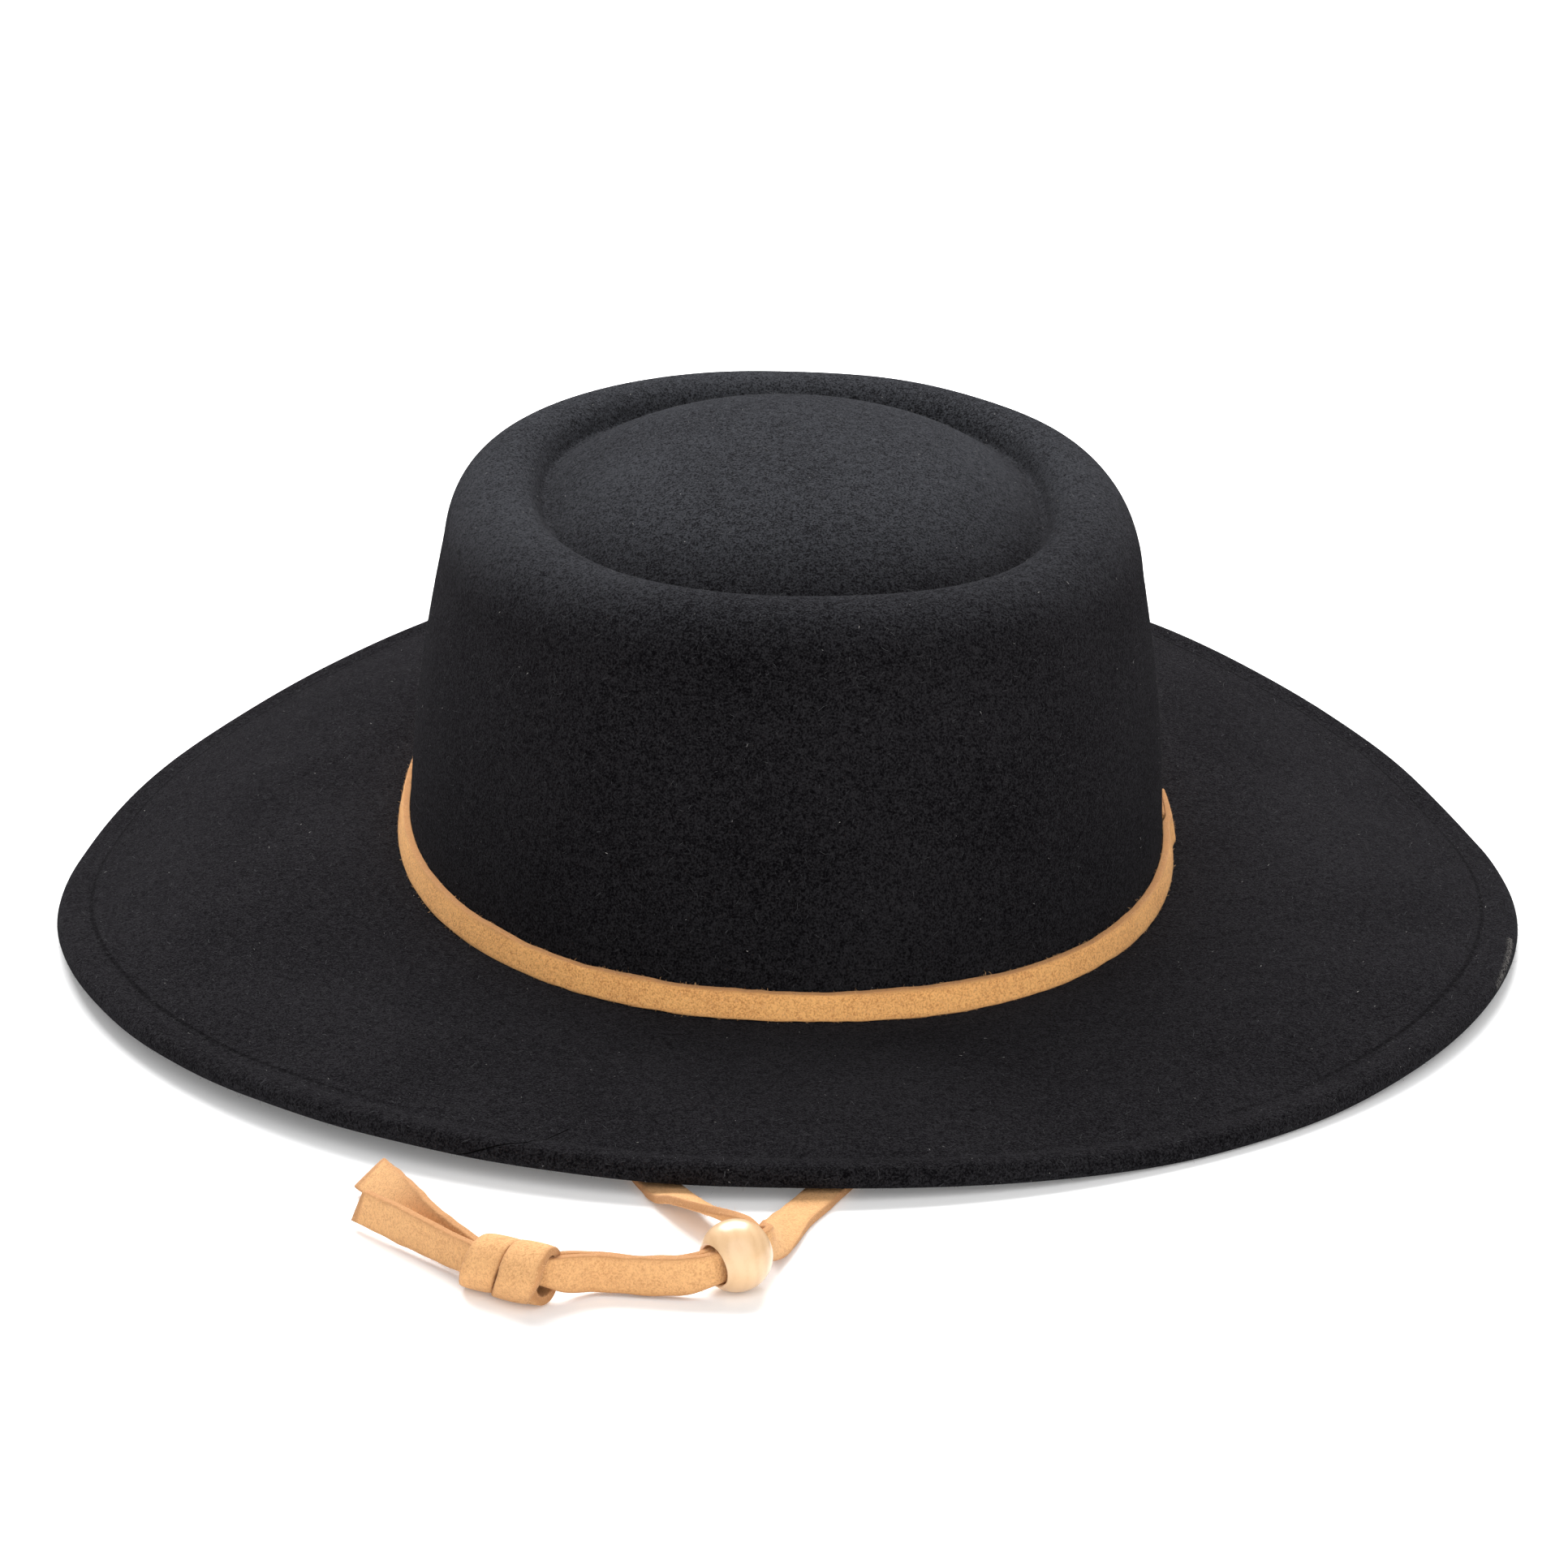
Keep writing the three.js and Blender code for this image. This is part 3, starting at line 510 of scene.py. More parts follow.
# superellipse: radius (|cos|^p + |sin|^p)^(-1/p), one end made wider by the egg share
def oval(shape, t, power=None):
    c, s = np.cos(t), np.sin(t)
    p = shape["power"] if power is None else power
    r = (np.abs(c) ** p + np.abs(s) ** p) ** (-1 / p)
    x = shape["halfWidth"] * r * c * (1 + shape["egg"] * r * s)
    return np.stack([x, shape["halfLength"] * r * s], -1)


# outward normal of the oval, from the difference of its points a small angle before and after
def ovalNormal(shape, t):
    d = oval(shape, t + 0.01) - oval(shape, t - 0.01)
    return unit(np.stack([d[..., 1], -d[..., 0]], -1))


# from the crown's own axes to the scene's: lean about Y, pitch about X, then the shift
def onCrown(x, y, z):
    lean, pitch = math.radians(feltShape["lean"]), math.radians(feltShape["pitch"])
    x, y, z = np.broadcast_arrays(x, y, z)
    x1, z1 = x * math.cos(lean) + z * math.sin(lean), z * math.cos(lean) - x * math.sin(lean)
    y2, z2 = y * math.cos(pitch) - z1 * math.sin(pitch), y * math.sin(pitch) + z1 * math.cos(pitch)
    dx, dy, dz = feltShape["crownAt"]
    return np.stack([x1 + dx, y2 + dy, z2 + dz], -1)


# smooth closed curve through (degrees, height) rows: cubic pieces with the slope of the neighbours
def heightRound(rows, t):
    degs = np.array([row[0] for row in rows], float)
    highs = np.array([row[1] for row in rows], float)
    n = len(rows)
    longDegs = np.concatenate([degs[-2:] - 360, degs, degs[:3] + 360])
    longHighs = np.concatenate([highs[-2:], highs, highs[:3]])
    d = np.degrees(t) % 360
    i = np.clip(np.searchsorted(degs, d, side="right") - 1, 0, n - 1) + 2
    d0, d1, d2, d3 = (longDegs[i + k] for k in (-1, 0, 1, 2))
    h0, h1, h2, h3 = (longHighs[i + k] for k in (-1, 0, 1, 2))
    span = d2 - d1
    u = (d - d1) / span
    m1, m2 = (h2 - h0) / (d2 - d0) * span, (h3 - h1) / (d3 - d1) * span
    return ((2 * u ** 3 - 3 * u ** 2 + 1) * h1 + (u ** 3 - 2 * u ** 2 + u) * m1
            + (3 * u ** 2 - 2 * u ** 3) * h2 + (u ** 3 - u ** 2) * m2)


# Outside of the crown from the middle of the dome to the foot of the wall: dome rows shrink towards
# its middle and rise by 1 - rho^power, the rim is two arcs, the wall runs straight with a small swell.
def crownRows(t):
    f = feltShape
    top, topN = oval(f["top"], t), ovalNormal(f["top"], t)
    rimTop = f["crownHeight"] + f["crownSideDip"] * np.cos(2 * t)
    grooveInset = f["rimOuter"] + f["rimInner"]
    edge = {**f["top"], "halfWidth": f["top"]["halfWidth"] - grooveInset + f["domeWiden"],
            "halfLength": f["top"]["halfLength"] - grooveInset}

    def place(inset, z):
        return onCrown(top[:, 0] - topN[:, 0] * inset, top[:, 1] + f["topBack"] - topN[:, 1] * inset, z)

    rows = []
    for rho in np.sin(np.linspace(0.02, 1, f["domeRows"]) * math.pi / 2) * f["domeEdge"]:
        p = oval(edge, t, 2 + (f["top"]["power"] - 2) * rho) * rho
        z = (f["crownHeight"] - f["domeDrop"] + f["domeRise"] * (1 - rho ** f["domePower"])
             + f["domeBackRise"] * p[:, 1] / edge["halfLength"])
        rows.append(onCrown(p[:, 0], p[:, 1] + f["domeBack"] * (1 - rho * rho) + f["topBack"], z))
    for g in np.radians(np.linspace(f["grooveFrom"], 0, f["grooveRows"])):
        reach = f["rimInner"] - f["domeWiden"] * f["rimNarrow"] * np.cos(t) ** 2
        rows.append(place(f["rimOuter"] + reach * math.sin(g), rimTop - f["rimInner"] * (1 - math.cos(g))))
    for g in np.radians(np.linspace(f["rimFrom"], 0, f["rimRows"])):
        rows.append(place(f["rimOuter"] * (1 - math.cos(g)), rimTop - f["rimOuter"] * (1 - math.sin(g))))
    foot = oval(f["base"], t) - ovalNormal(f["base"], t) * f["footInset"]
    dip = f["breakDip"] * np.cos(2 * t)
    for v in np.linspace(1, 0, f["wallRows"])[1:]:
        bulge = f["wallBulge"] * math.sin(math.pi * v)
        x = foot[:, 0] + (top[:, 0] - foot[:, 0]) * v + topN[:, 0] * bulge
        y = foot[:, 1] + (top[:, 1] + f["topBack"] - foot[:, 1]) * v + topN[:, 1] * bulge
        rows.append(onCrown(x, y, dip * (1 - v) + v * (rimTop - f["rimOuter"])))
    return rows


# Brim from the crown to the stitching, drooping by a sine, then the folded hem: a soft step up, a
# round lip and the same step on the underside. Heights in the hem are square to the brim's slope.
def brimRows(t):
    f = feltShape
    foot, n = oval(f["base"], t), ovalNormal(f["base"], t)
    start = onCrown(foot[:, 0] + n[:, 0] * f["flare"], foot[:, 1] + n[:, 1] * f["flare"],
                    f["breakDip"] * np.cos(2 * t))
    width = (f["brimMean"] + f["brimBack"] * np.sin(t) + f["brimEnds"] * np.cos(2 * t)
             + f["brimCorners"] * np.cos(4 * t))
    end = np.column_stack([foot + n * width[:, None], heightRound(hemHeights, t)])

    def onBrim(k, lift):
        k = np.broadcast_to(k, t.shape)[:, None]
        p = start * (1 - k) + end * k
        g = k[:, 0] - f["brimDroop"] * np.sin(math.pi * k[:, 0])
        p[:, 2] = start[:, 2] + (end[:, 2] - start[:, 2]) * g + lift * k[:, 0]
        return p

    inner = 1 - (f["hemInset"] + f["hemStepIn"]) / width
    upper = [onBrim(inner * k, f["brimHalf"]) for k in np.linspace(0, 1, f["brimRows"])]
    out = unit(end - onBrim(inner, 0.0))
    up = unit(np.cross(out, np.column_stack([n[:, 1], -n[:, 0], np.zeros_like(t)])))
    up *= np.sign(up[:, 2:3])
    inset, radius, half = f["hemInset"], f["hemRadius"], f["brimHalf"]
    # groove of the stitching and the step up to the lip: millimetres out, millimetres up
    section = [(-inset - 1.2, half), (-inset - 0.5, half - 0.08), (-inset, half - 0.34),
               (-inset + 0.5, half), (-inset + 1.2, half + 0.25), (-inset + 2.4, radius - 0.45),
               (-inset + 3.8, radius - 0.15)]
    turns = np.radians(np.linspace(f["lipFrom"], f["lipTo"], f["lipRows"]))
    section += [(radius * math.cos(a), radius * math.sin(a)) for a in turns]
    # step down to the underside of the brim
    section += [(-inset + 1.2, -radius + 0.35), (-inset - 0.4, -half)]
    hem = [end + out * along + up * high for along, high in section]
    for row in hem:
        row[:, 2] = np.maximum(row[:, 2], 0)
    return upper, hem


# Spreads the rows evenly along each column's length, then rounds the corners with a running mean, and
# with a wider one near the groove round the dome. The first row is the middle of the dome.
def softRows(rows, step, softening):
    rows = np.stack(rows)
    along = reachAlong(rows)
    count = int(along[-1].max() / step)
    even = np.empty((count, rows.shape[1], 3))
    for column in range(rows.shape[1]):
        at = np.linspace(0, along[-1, column], count)
        for axis in range(3):
            even[:, column, axis] = np.interp(at, along[:, column], rows[:, column, axis])
    soft = bellSmooth(even, softening / step)
    softer = bellSmooth(even, feltShape["grooveSoftening"] / step)
    grooveAt = int(np.argmin(even[:count // 3, 0, 2]))
    share = np.exp(-(((np.arange(count) - grooveAt) * step / feltShape["grooveReach"]) ** 4))[:, None, None]
    soft = soft * (1 - share) + softer * share
    soft[0], soft[-1] = even[0], even[-1]
    return soft


# normals of a grid that closes round: cross product of its differences along and round
def gridNormals(grid):
    along = np.gradient(grid, axis=0)
    around = np.roll(grid, -1, axis=1) - np.roll(grid, 1, axis=1)
    return unit(np.cross(along, around))


# picks rows so that they stand closer where the profile bends more
def pickRows(grid, count, bendWeight):
    profile = grid[:, 0]
    steps = np.diff(profile, axis=0)
    length = np.linalg.norm(steps, axis=1)
    bend = np.concatenate([[0], np.linalg.norm(np.diff(unit(steps), axis=0), axis=1)])
    cost = np.cumsum(length + bendWeight * bellSmooth(bend, feltShape["bendSmoothing"]))
    wanted = np.linspace(0, cost[-1], count)
    picked = np.searchsorted(np.concatenate([[0], cost]), wanted)
    return np.unique(np.clip(picked, 0, len(grid) - 1))


# the felt: the rows of the outside, then those of the inside back to the middle of the crown
def feltBody(material):
    f = feltShape
    t = np.arange(f["round"]) / f["round"] * tau
    crown = crownRows(t)
    upper, hem = brimRows(t)
    outer = softRows(crown + upper + hem, f["sampleStep"], f["softening"])
    outer[:, :, 2] = np.maximum(outer[:, :, 2], 0)
    outer += feltWaves(outer)
    shell = outer[pickRows(outer, f["shellRows"], f["shellBend"])]

    # the inside follows the crown and brim down to the underside of the stitching
    liner = softRows(crown + upper, f["sampleStep"], f["softening"])
    liner += feltWaves(liner)
    normals = gridNormals(liner)
    normals[:2] = normals[2].mean(0)
    if normals[len(normals) // 2, 0, 0] < 0:
        normals = -normals
    inside = liner - normals * f["wall"]
    inside = inside[pickRows(inside, f["insideRows"], f["insideBend"])][:-1]
    inside[:, :, 2] = np.maximum(inside[:, :, 2], 0)

    grid = np.concatenate([shell, inside[::-1]])
    grid[:, :, 1] += frontShift
    along = reachAlong(grid)
    stitchRow = stitchRowOf(grid, t)
    hemLine = grid[stitchRow]
    u = reachAlong(np.vstack([hemLine, hemLine[:1]]))
    v = along - along[stitchRow]
    v[len(shell):] = f["insideV"]
    piece = gridPiece("felt", grid * mm, material, uv=(u * mm, v * mm))
    return piece, grid[:len(shell)] * mm


# the row of the grid on the outer half of the brim's top that lies nearest to the stitched groove
def stitchRowOf(grid, t):
    f = feltShape
    foot, n = oval(f["base"], t), ovalNormal(f["base"], t)
    reach = np.linalg.norm(grid[:, 0, :2] - np.array([0, frontShift]), axis=1)
    width = f["brimMean"] + f["brimEnds"] + f["brimCorners"] - f["hemInset"]
    wanted = np.linalg.norm(foot[0] + n[0] * width)
    brim = (reach > f["base"]["halfWidth"] + width / 2) & (np.gradient(reach) > 0)
    rows = np.where(brim)[0]
    return int(rows[np.argmin(np.abs(reach[rows] - wanted))])


# slow unevenness of hand-blocked felt: three sine waves of up to 0.16 mm, slanting across the surface,
# which fade out towards the table
def feltWaves(grid):
    x, y, z = grid[..., 0], grid[..., 1], grid[..., 2]
    long, middle, short = feltShape["waveHeights"]
    waves = (long * np.sin(x / 17 + 1.3 * np.sin(y / 31)) + middle * np.sin(y / 13 + z / 9 + 0.8)
             + short * np.sin(x / 7.3 - y / 8.9 + z / 6.1))
    fade = np.clip(z / feltShape["wavesFrom"], 0, 1)
    return np.stack([np.zeros_like(x), np.zeros_like(x), waves * fade], -1)


# The band: a strip round the foot of the crown, lapped at the wearer's left. Millimetres and degrees.
bandShape = {
    "thickness": 1.6, "bottom": 0.2, "top": 6.25, "flare": 0.6, "corner": 0.32, "gap": 0.06,
    "startDeg": -3.0, "lapDeg": 8.0, "rampDeg": 3.0, "thinned": 0.6, "steps": 900,
    "rough": 0.07, "fineSteps": 2.2, "slowSteps": 9, "slowShare": 1.4,
}


# section carried round the crown's foot; the last degrees ride up over the start, and both ends are
# pared down to a share of the thickness so that the lap stays flat
def hatBand(material):
    b, f = bandShape, feltShape
    along = np.linspace(0, 360 + b["lapDeg"], b["steps"])
    t = np.radians(b["startDeg"] + along)
    opening = b["thinned"] + (1 - b["thinned"]) * np.clip(along / b["lapDeg"], 0, 1)
    over = np.clip((along - 360) / b["lapDeg"], 0, 1)
    share = opening * (1 - (1 - b["thinned"]) * over)
    u = np.clip((along - (360 - b["rampDeg"])) / b["rampDeg"], 0, 1)
    below = b["thickness"] * (b["thinned"] + (1 - b["thinned"]) * over) + b["gap"]
    lift = u * u * (3 - 2 * u) * below
    p, n = oval(f["base"], t), ovalNormal(f["base"], t)
    dip = f["breakDip"] * np.cos(2 * t)
    section, edge = flatSection(b["top"] - b["bottom"], b["thickness"], b["corner"])
    middle = (b["top"] + b["bottom"]) / 2
    roughTop, roughLow = (raggedEdge(b, b["steps"], seed) for seed in (11, 13))
    rows = []
    for (high, thick), cut in zip(section, edge):
        tall = high + cut * np.where(high > 0, roughTop, roughLow)
        slope = -b["flare"] * 2 * high / (b["top"] - b["bottom"])
        out = slope - b["thickness"] + lift + (thick + b["thickness"] / 2) * share
        rows.append(onCrown(p[:, 0] + n[:, 0] * out, p[:, 1] + n[:, 1] * out, tall + middle + dip))
    grid = np.stack(rows, axis=1)
    grid[..., 1] += frontShift
    shares = np.broadcast_to(edge, grid.shape[:2])
    return gridPiece("band", grid * mm, material, attributes={"edge": shares}), grid * mm


# how a strip's section is drawn: its faces swell a little, and its corners and cut edges look browner
stripSection = {
    "faceSteps": 9, "swell": 0.04, "edgeFrom": 0.88, "edgeMost": 0.35,
    "cornerDegs": (67, 45, 22, 0), "cornerEdges": (0.7, 0.9, 1, 1),
}


# Section of a flat strip with rounded corners and softly swollen faces: places (wide, thick) and how
# much each belongs to a cut edge, 0 to 1.
def flatSection(width, thickness, corner):
    s = stripSection
    halfWide, halfThick = width / 2 - corner, thickness / 2 - corner
    places, edge = [], []
    for side in (1, -1):
        for k in np.linspace(-side, side, s["faceSteps"]):
            places.append((k * halfWide, side * (halfThick + corner + s["swell"] * (1 - k * k))))
            edge.append(max(0.0, abs(k) - s["edgeFrom"]) / (1 - s["edgeFrom"]) * s["edgeMost"])
        ends = [(halfWide + corner * math.cos(a), halfThick + corner * math.sin(a))
                for a in np.radians(s["cornerDegs"])]
        ends += [(w, -h) for w, h in ends[::-1]]
        places += [(side * w, side * h) for w, h in ends]
        edge += s["cornerEdges"] + s["cornerEdges"][::-1]
    return np.array(places), np.array(edge)


# The laces: middle line x, y, z, roll about it (0 lies flat, 90 stands on edge), width, and the
# sideways shift where two laces lie together. They run from the crown through the bead and the knot.
laceShape = {
    "width": 7.8, "thickness": 1.7, "corner": 0.4, "stepsPerMm": 1.1, "lowest": 0.05, "slantOver": 9.0,
    "rough": 0.07, "fineSteps": 1.6, "slowSteps": 7, "slowShare": 0.9,
}

leftLaceRows = [
    (81.2, 12, 31, -90, 7.8, 0), (81.0, 6, 24, -90, 7.8, 0), (80.0, -2, 15, -85, 7.8, 0),
    (77.5, -12, 7.5, -60, 7.8, 0), (73.5, -24, 3.2, -20, 7.8, 0), (68, -38, 1.3, -2, 7.8, 0),
    (57, -63, 1.1, 0, 7.8, 0), (43, -94, 1.1, 0, 7.8, 0), (27, -128, 1.1, 0, 7.8, 0),
    (12.5, -159, 1.1, 0, 7.8, 0), (2.6, -182, 1.1, 0, 7.8, 0),
    (-2.8, -194, 1.1, 0, 7.8, 0), (-6.1, -201.2, 1.35, -4, 7.8, 0), (-7.9, -207.2, 2, -15, 7.8, 0),
    (-9.6, -213.8, 3.2, -36, 7.8, 0.1), (-11, -219.8, 4.6, -60, 7.5, 0.4),
    (-12, -225, 6.4, -82, 6.8, 0.8), (-13.0, -229.3, 7.8, -90, 6.3, 1.025),
    (-17.7, -232.7, 7.0, -90, 6.3, 1.025), (-22.3, -236.0, 6.2, -90, 6.4, 1.025),
    (-26.6, -236.4, 5.2, -90, 7.2, 1.025), (-31.5, -235.6, 4.7, -90, 7.4, 1.025),
    (-38, -234.3, 4.5, -90, 7.4, 1.025), (-44.0, -233.7, 4.8, -90, 7.3, 1.025),
    (-49.6, -236.6, 5.9, -90, 7.0, 1.025), (-54.4, -238.4, 7.2, -90, 5.2, 1.0),
    (-59.2, -235.6, 6.3, -90, 5.6, 0.95), (-64.2, -230.4, 5.6, -90, 6.0, 0.9),
    (-68.1, -225.6, 5.2, -90, 6.6, 0.9), (-76.4, -215.4, 5.1, -90, 7.2, 0.6),
    (-83.0, -207.4, 5.1, -88, 7.4, 0.2), (-89.2, -199.9, 5.0, -86, 7.2, 0),
]
rightLaceRows = [
    (-80.9, 12, 35, 90, 7.8, 0), (-80.6, 6, 28, 90, 7.8, 0), (-79.8, -2, 18, 85, 7.8, 0),
    (-78.0, -12, 9, 60, 7.8, 0), (-74.5, -24, 3.4, 20, 7.8, 0), (-70, -38, 1.35, 2, 7.8, 0),
    (-62, -66, 1.1, 0, 7.8, 0), (-53, -98, 1.1, 0, 7.8, 0), (-44.6, -130, 1.1, 0, 7.8, 0),
    (-38.6, -154, 1.1, 0, 7.8, 0), (-34.6, -170, 1.1, 0, 7.8, 0), (-31.7, -180.5, 1.1, 0, 7.8, 0),
    (-29.2, -188.6, 1.7, 0, 7.8, 0), (-26.6, -195.2, 3.1, -16, 7.8, 0),
    (-22.9, -202.8, 4.4, -25, 7.8, 0), (-19.3, -209, 5.2, -36, 7.6, 0),
    (-16.4, -215.2, 6, -54, 7.2, -0.3), (-14.0, -222.3, 7.0, -82, 6.7, -0.8),
    (-13.0, -229.3, 7.8, -90, 6.3, -1.025),
    (-17.7, -232.7, 7.0, -90, 6.3, -1.025), (-22.3, -236.0, 6.1, -90, 6.3, -1.025),
    (-26.6, -236.4, 4.9, -90, 6.9, -1.025), (-31.5, -235.6, 4.3, -90, 7.0, -1.025),
    (-38, -234.3, 4.1, -90, 7.0, -1.025), (-44.0, -233.7, 4.5, -90, 7.0, -1.025),
    (-49.6, -236.6, 5.8, -90, 6.8, -1.025), (-54.4, -238.4, 7.1, -90, 5.2, -1.0),
    (-59.2, -235.6, 6.3, -90, 5.6, -1.0), (-64.2, -230.4, 5.6, -90, 6.0, -1.0),
    (-68.3, -224.7, 5.3, -90, 6.6, -1.1),
    (-75.8, -211.6, 5.6, -84, 7.6, -0.9), (-82.2, -195.6, 5.1, -62, 7.8, -0.4),
    (-87.9, -181, 4, -44, 7.8, 0),
]


# Carries the flat section along the rows. Across is level and square to the way; the roll turns the
# section about the way, and the side shift moves it across. The free end is cut aslant.
def laceGrid(rows, seed, endSlant):
    s = laceShape
    rows = np.asarray(rows, float)
    count = int(reachAlong(rows[:, :3])[-1] * s["stepsPerMm"])
    fine = curveThrough(rows, count * 4)
    reach = reachAlong(fine[:, :3])
    even = np.linspace(0, reach[-1], count)
    fine = np.stack([np.interp(even, reach, fine[:, k]) for k in range(6)], axis=1)
    middle = fine[:, :3]
    along = unit(np.gradient(middle, axis=0))
    across = unit(np.column_stack([-along[:, 1], along[:, 0], np.zeros(count)]))
    high = np.cross(along, across)
    roll = np.radians(fine[:, 3:4])
    wide = across * np.cos(roll) + high * np.sin(roll)
    thick = np.cross(along, wide)
    centre = middle + across * fine[:, 5:6]
    section, edge = flatSection(s["width"], s["thickness"], s["corner"])
    roughOne, roughTwo = (raggedEdge(s, count, edgeSeed) for edgeSeed in (seed, seed + 2))
    slant = np.clip(1 - (reach[-1] - even) / s["slantOver"], 0, 1) ** 2 * endSlant
    grid = np.empty((count, len(section), 3))
    for k, ((w, h), share) in enumerate(zip(section, edge)):
        rough = share * np.where(w > 0, roughOne, -roughTwo)
        w = w * fine[:, 4] / s["width"] + rough
        grid[:, k] = centre + wide * w[:, None] + thick * h + along * (slant * w)[:, None]
    grid[..., 2] = np.maximum(grid[..., 2], s["lowest"])
    path = centre.copy()
    grid[..., 1] += frontShift
    path[:, 1] += frontShift
    return grid, path, edge


def pathLength(path):
    return float(reachAlong(path)[-1])


# a lace, its middle line and its surface; the free end is a cut edge
def chinLace(name, rows, seed, endSlant, material):
    grid, path, edge = laceGrid(rows, seed, endSlant)
    shares = np.broadcast_to(edge, grid.shape[:2]).copy()
    shares[-2:] = 1
    lace = gridPiece(name, grid * mm, material, attributes={"edge": shares})
    return lace, path * mm, grid * mm


# The bead, in millimetres, and how finely its profile is drawn.
beadShape = {
    "at": (-17.7, -232.7, 7.0), "radius": 6.9, "bore": 3.95, "axis": (-0.8, -0.58, -0.145),
    "lip": 0.35, "lipStand": 0.05, "lipFrom": 20, "boreFrom": 0.8,
    "outsideSteps": 60, "lipSteps": 5, "boreSteps": 8, "turnSteps": 120,
}


# rings about the bore, from one mouth over the outside to the other, round its lip and back inside
def slideBead(material):
    b = beadShape
    axis = unit(np.array(b["axis"]))
    side = np.array([-axis[1], axis[0], 0]) / math.hypot(axis[0], axis[1])
    high = np.cross(axis, side)
    faceAngle = math.asin((b["bore"] + b["lip"]) / b["radius"])
    mouth = b["radius"] * math.cos(faceAngle)
    outside = np.linspace(faceAngle, math.pi - faceAngle, b["outsideSteps"])
    profile = [(b["radius"] * math.cos(a), b["radius"] * math.sin(a)) for a in outside]
    lip = [(mouth - b["lip"] * math.sin(a) + b["lipStand"], b["bore"] + b["lip"] * (1 - math.sin(a)))
           for a in np.radians(np.linspace(b["lipFrom"], 90, b["lipSteps"]))]
    profile += [(-x, r) for x, r in lip]
    halfBore = mouth - b["boreFrom"]
    profile += [(x, b["bore"]) for x in np.linspace(-halfBore, halfBore, b["boreSteps"])]
    profile += lip[::-1]
    turn = np.arange(b["turnSteps"]) / b["turnSteps"] * tau
    x, r = (np.array(column)[:, None, None] for column in zip(*profile))
    ring = side * np.cos(turn)[:, None] + high * np.sin(turn)[:, None]
    grid = np.array(b["at"]) + axis * x + ring * r
    grid[..., 1] += frontShift
    return gridPiece("bead", grid * mm, material, ring=True)


# The knot's wraps, in millimetres: the lace's strip winds twice round the doubled laces. A row of way
# holds degrees round (0 faces the front, -90 is below), millimetres along to the left, the share of
# the full radius, and the width that the slanting strip takes up along the knot.
knotShape = {
    "right": (-52.2, -240.4, 6.25), "left": (-69.2, -227.4, 5.3),
    "thickness": 1.7, "radius": 5.4, "taper": 0.19, "cup": 0.16, "lowest": 0.03,
    "steps": 260, "smoothing": 5, "rough": 0.06, "fineSteps": 3, "slowSteps": 12, "slowShare": 1.0,
    "way": [
        (-20, 4.0, 0.74, 5.0), (-60, 3.9, 0.92, 5.2), (-100, 4.1, 0.97, 5.4), (-140, 4.6, 0.92, 5.8),
        (-180, 4.9, 0.88, 6.4), (-230, 4.3, 0.93, 7.4), (-270, 3.5, 1.0, 8.4), (-320, 3.1, 1.0, 9.2),
        (-360, 3.4, 1.04, 9.2), (-405, 6.7, 1.03, 9.0), (-450, 10.0, 1.0, 7.8), (-500, 11.0, 1.0, 7.2),
        (-560, 11.5, 1.0, 7.6), (-630, 12.0, 1.0, 8.0), (-680, 12.0, 1.0, 8.3), (-720, 12.9, 1.0, 8.3),
        (-765, 15.1, 1.0, 8.0), (-810, 17.1, 0.95, 7.0), (-850, 18.0, 0.68, 6.0),
    ],
}


# Strip carried along the way: a point is right + axis * along + radius * its direction round the axis,
# and the radius falls towards the left by the taper. The strip's faces cup inwards at their edges.
def laceKnot(material):
    k = knotShape
    right, left = np.array(k["right"]), np.array(k["left"])
    length = np.linalg.norm(left - right)
    axis = (left - right) / length
    front = unit(np.array([axis[1], -axis[0], 0]))
    front *= -np.sign(front[1])
    up = np.cross(front, axis)
    up *= np.sign(up[2])
    degs, places, shares, widths = (np.array(column, float) for column in zip(*k["way"]))
    turned = np.linspace(-degs[0], -degs[-1], k["steps"])
    angle = np.radians(-turned)
    x, rise, strip = (bellSmooth(np.interp(turned, -degs, values), k["smoothing"])
                      for values in (places, shares, widths))
    r = k["radius"] * rise * (1 - k["taper"] * np.clip(x / length, 0, 1))
    radial = front * np.cos(angle)[:, None] + up * np.sin(angle)[:, None]
    path = right + axis * x[:, None] + radial * r[:, None]
    out = unit(np.cross(unit(np.gradient(path, axis=0)), axis))
    out *= np.sign((out * radial).sum(1, keepdims=True))
    section, edge = flatSection(laceShape["width"], k["thickness"], laceShape["corner"])
    rough = raggedEdge(k, k["steps"], 71)
    spread = strip / laceShape["width"]
    grid = np.empty((k["steps"], len(section), 3))
    for n, ((w, h), share) in enumerate(zip(section, edge)):
        cupped = h - k["cup"] * (w / laceShape["width"] * 2) ** 2
        grid[:, n] = path + axis * ((w + share * rough) * spread)[:, None] + out * cupped
    grid[..., 2] = np.maximum(grid[..., 2], k["lowest"])
    grid[..., 1] += frontShift
    shares = np.broadcast_to(edge, grid.shape[:2])
    return gridPiece("knot", grid * mm, material, attributes={"edge": shares}), grid * mm


# how much the slips differ from each other: shares of their length, width and lift
slipSpread = {
    "length": 0.45, "bend": 0.35, "liftFrom": 0.2, "widthFrom": 0.6, "widthTo": 1.3,
    "halfLift": 0.6, "halfBend": 0.25, "pulledIn": 0.3, "clearOfTable": 0.0012,
}


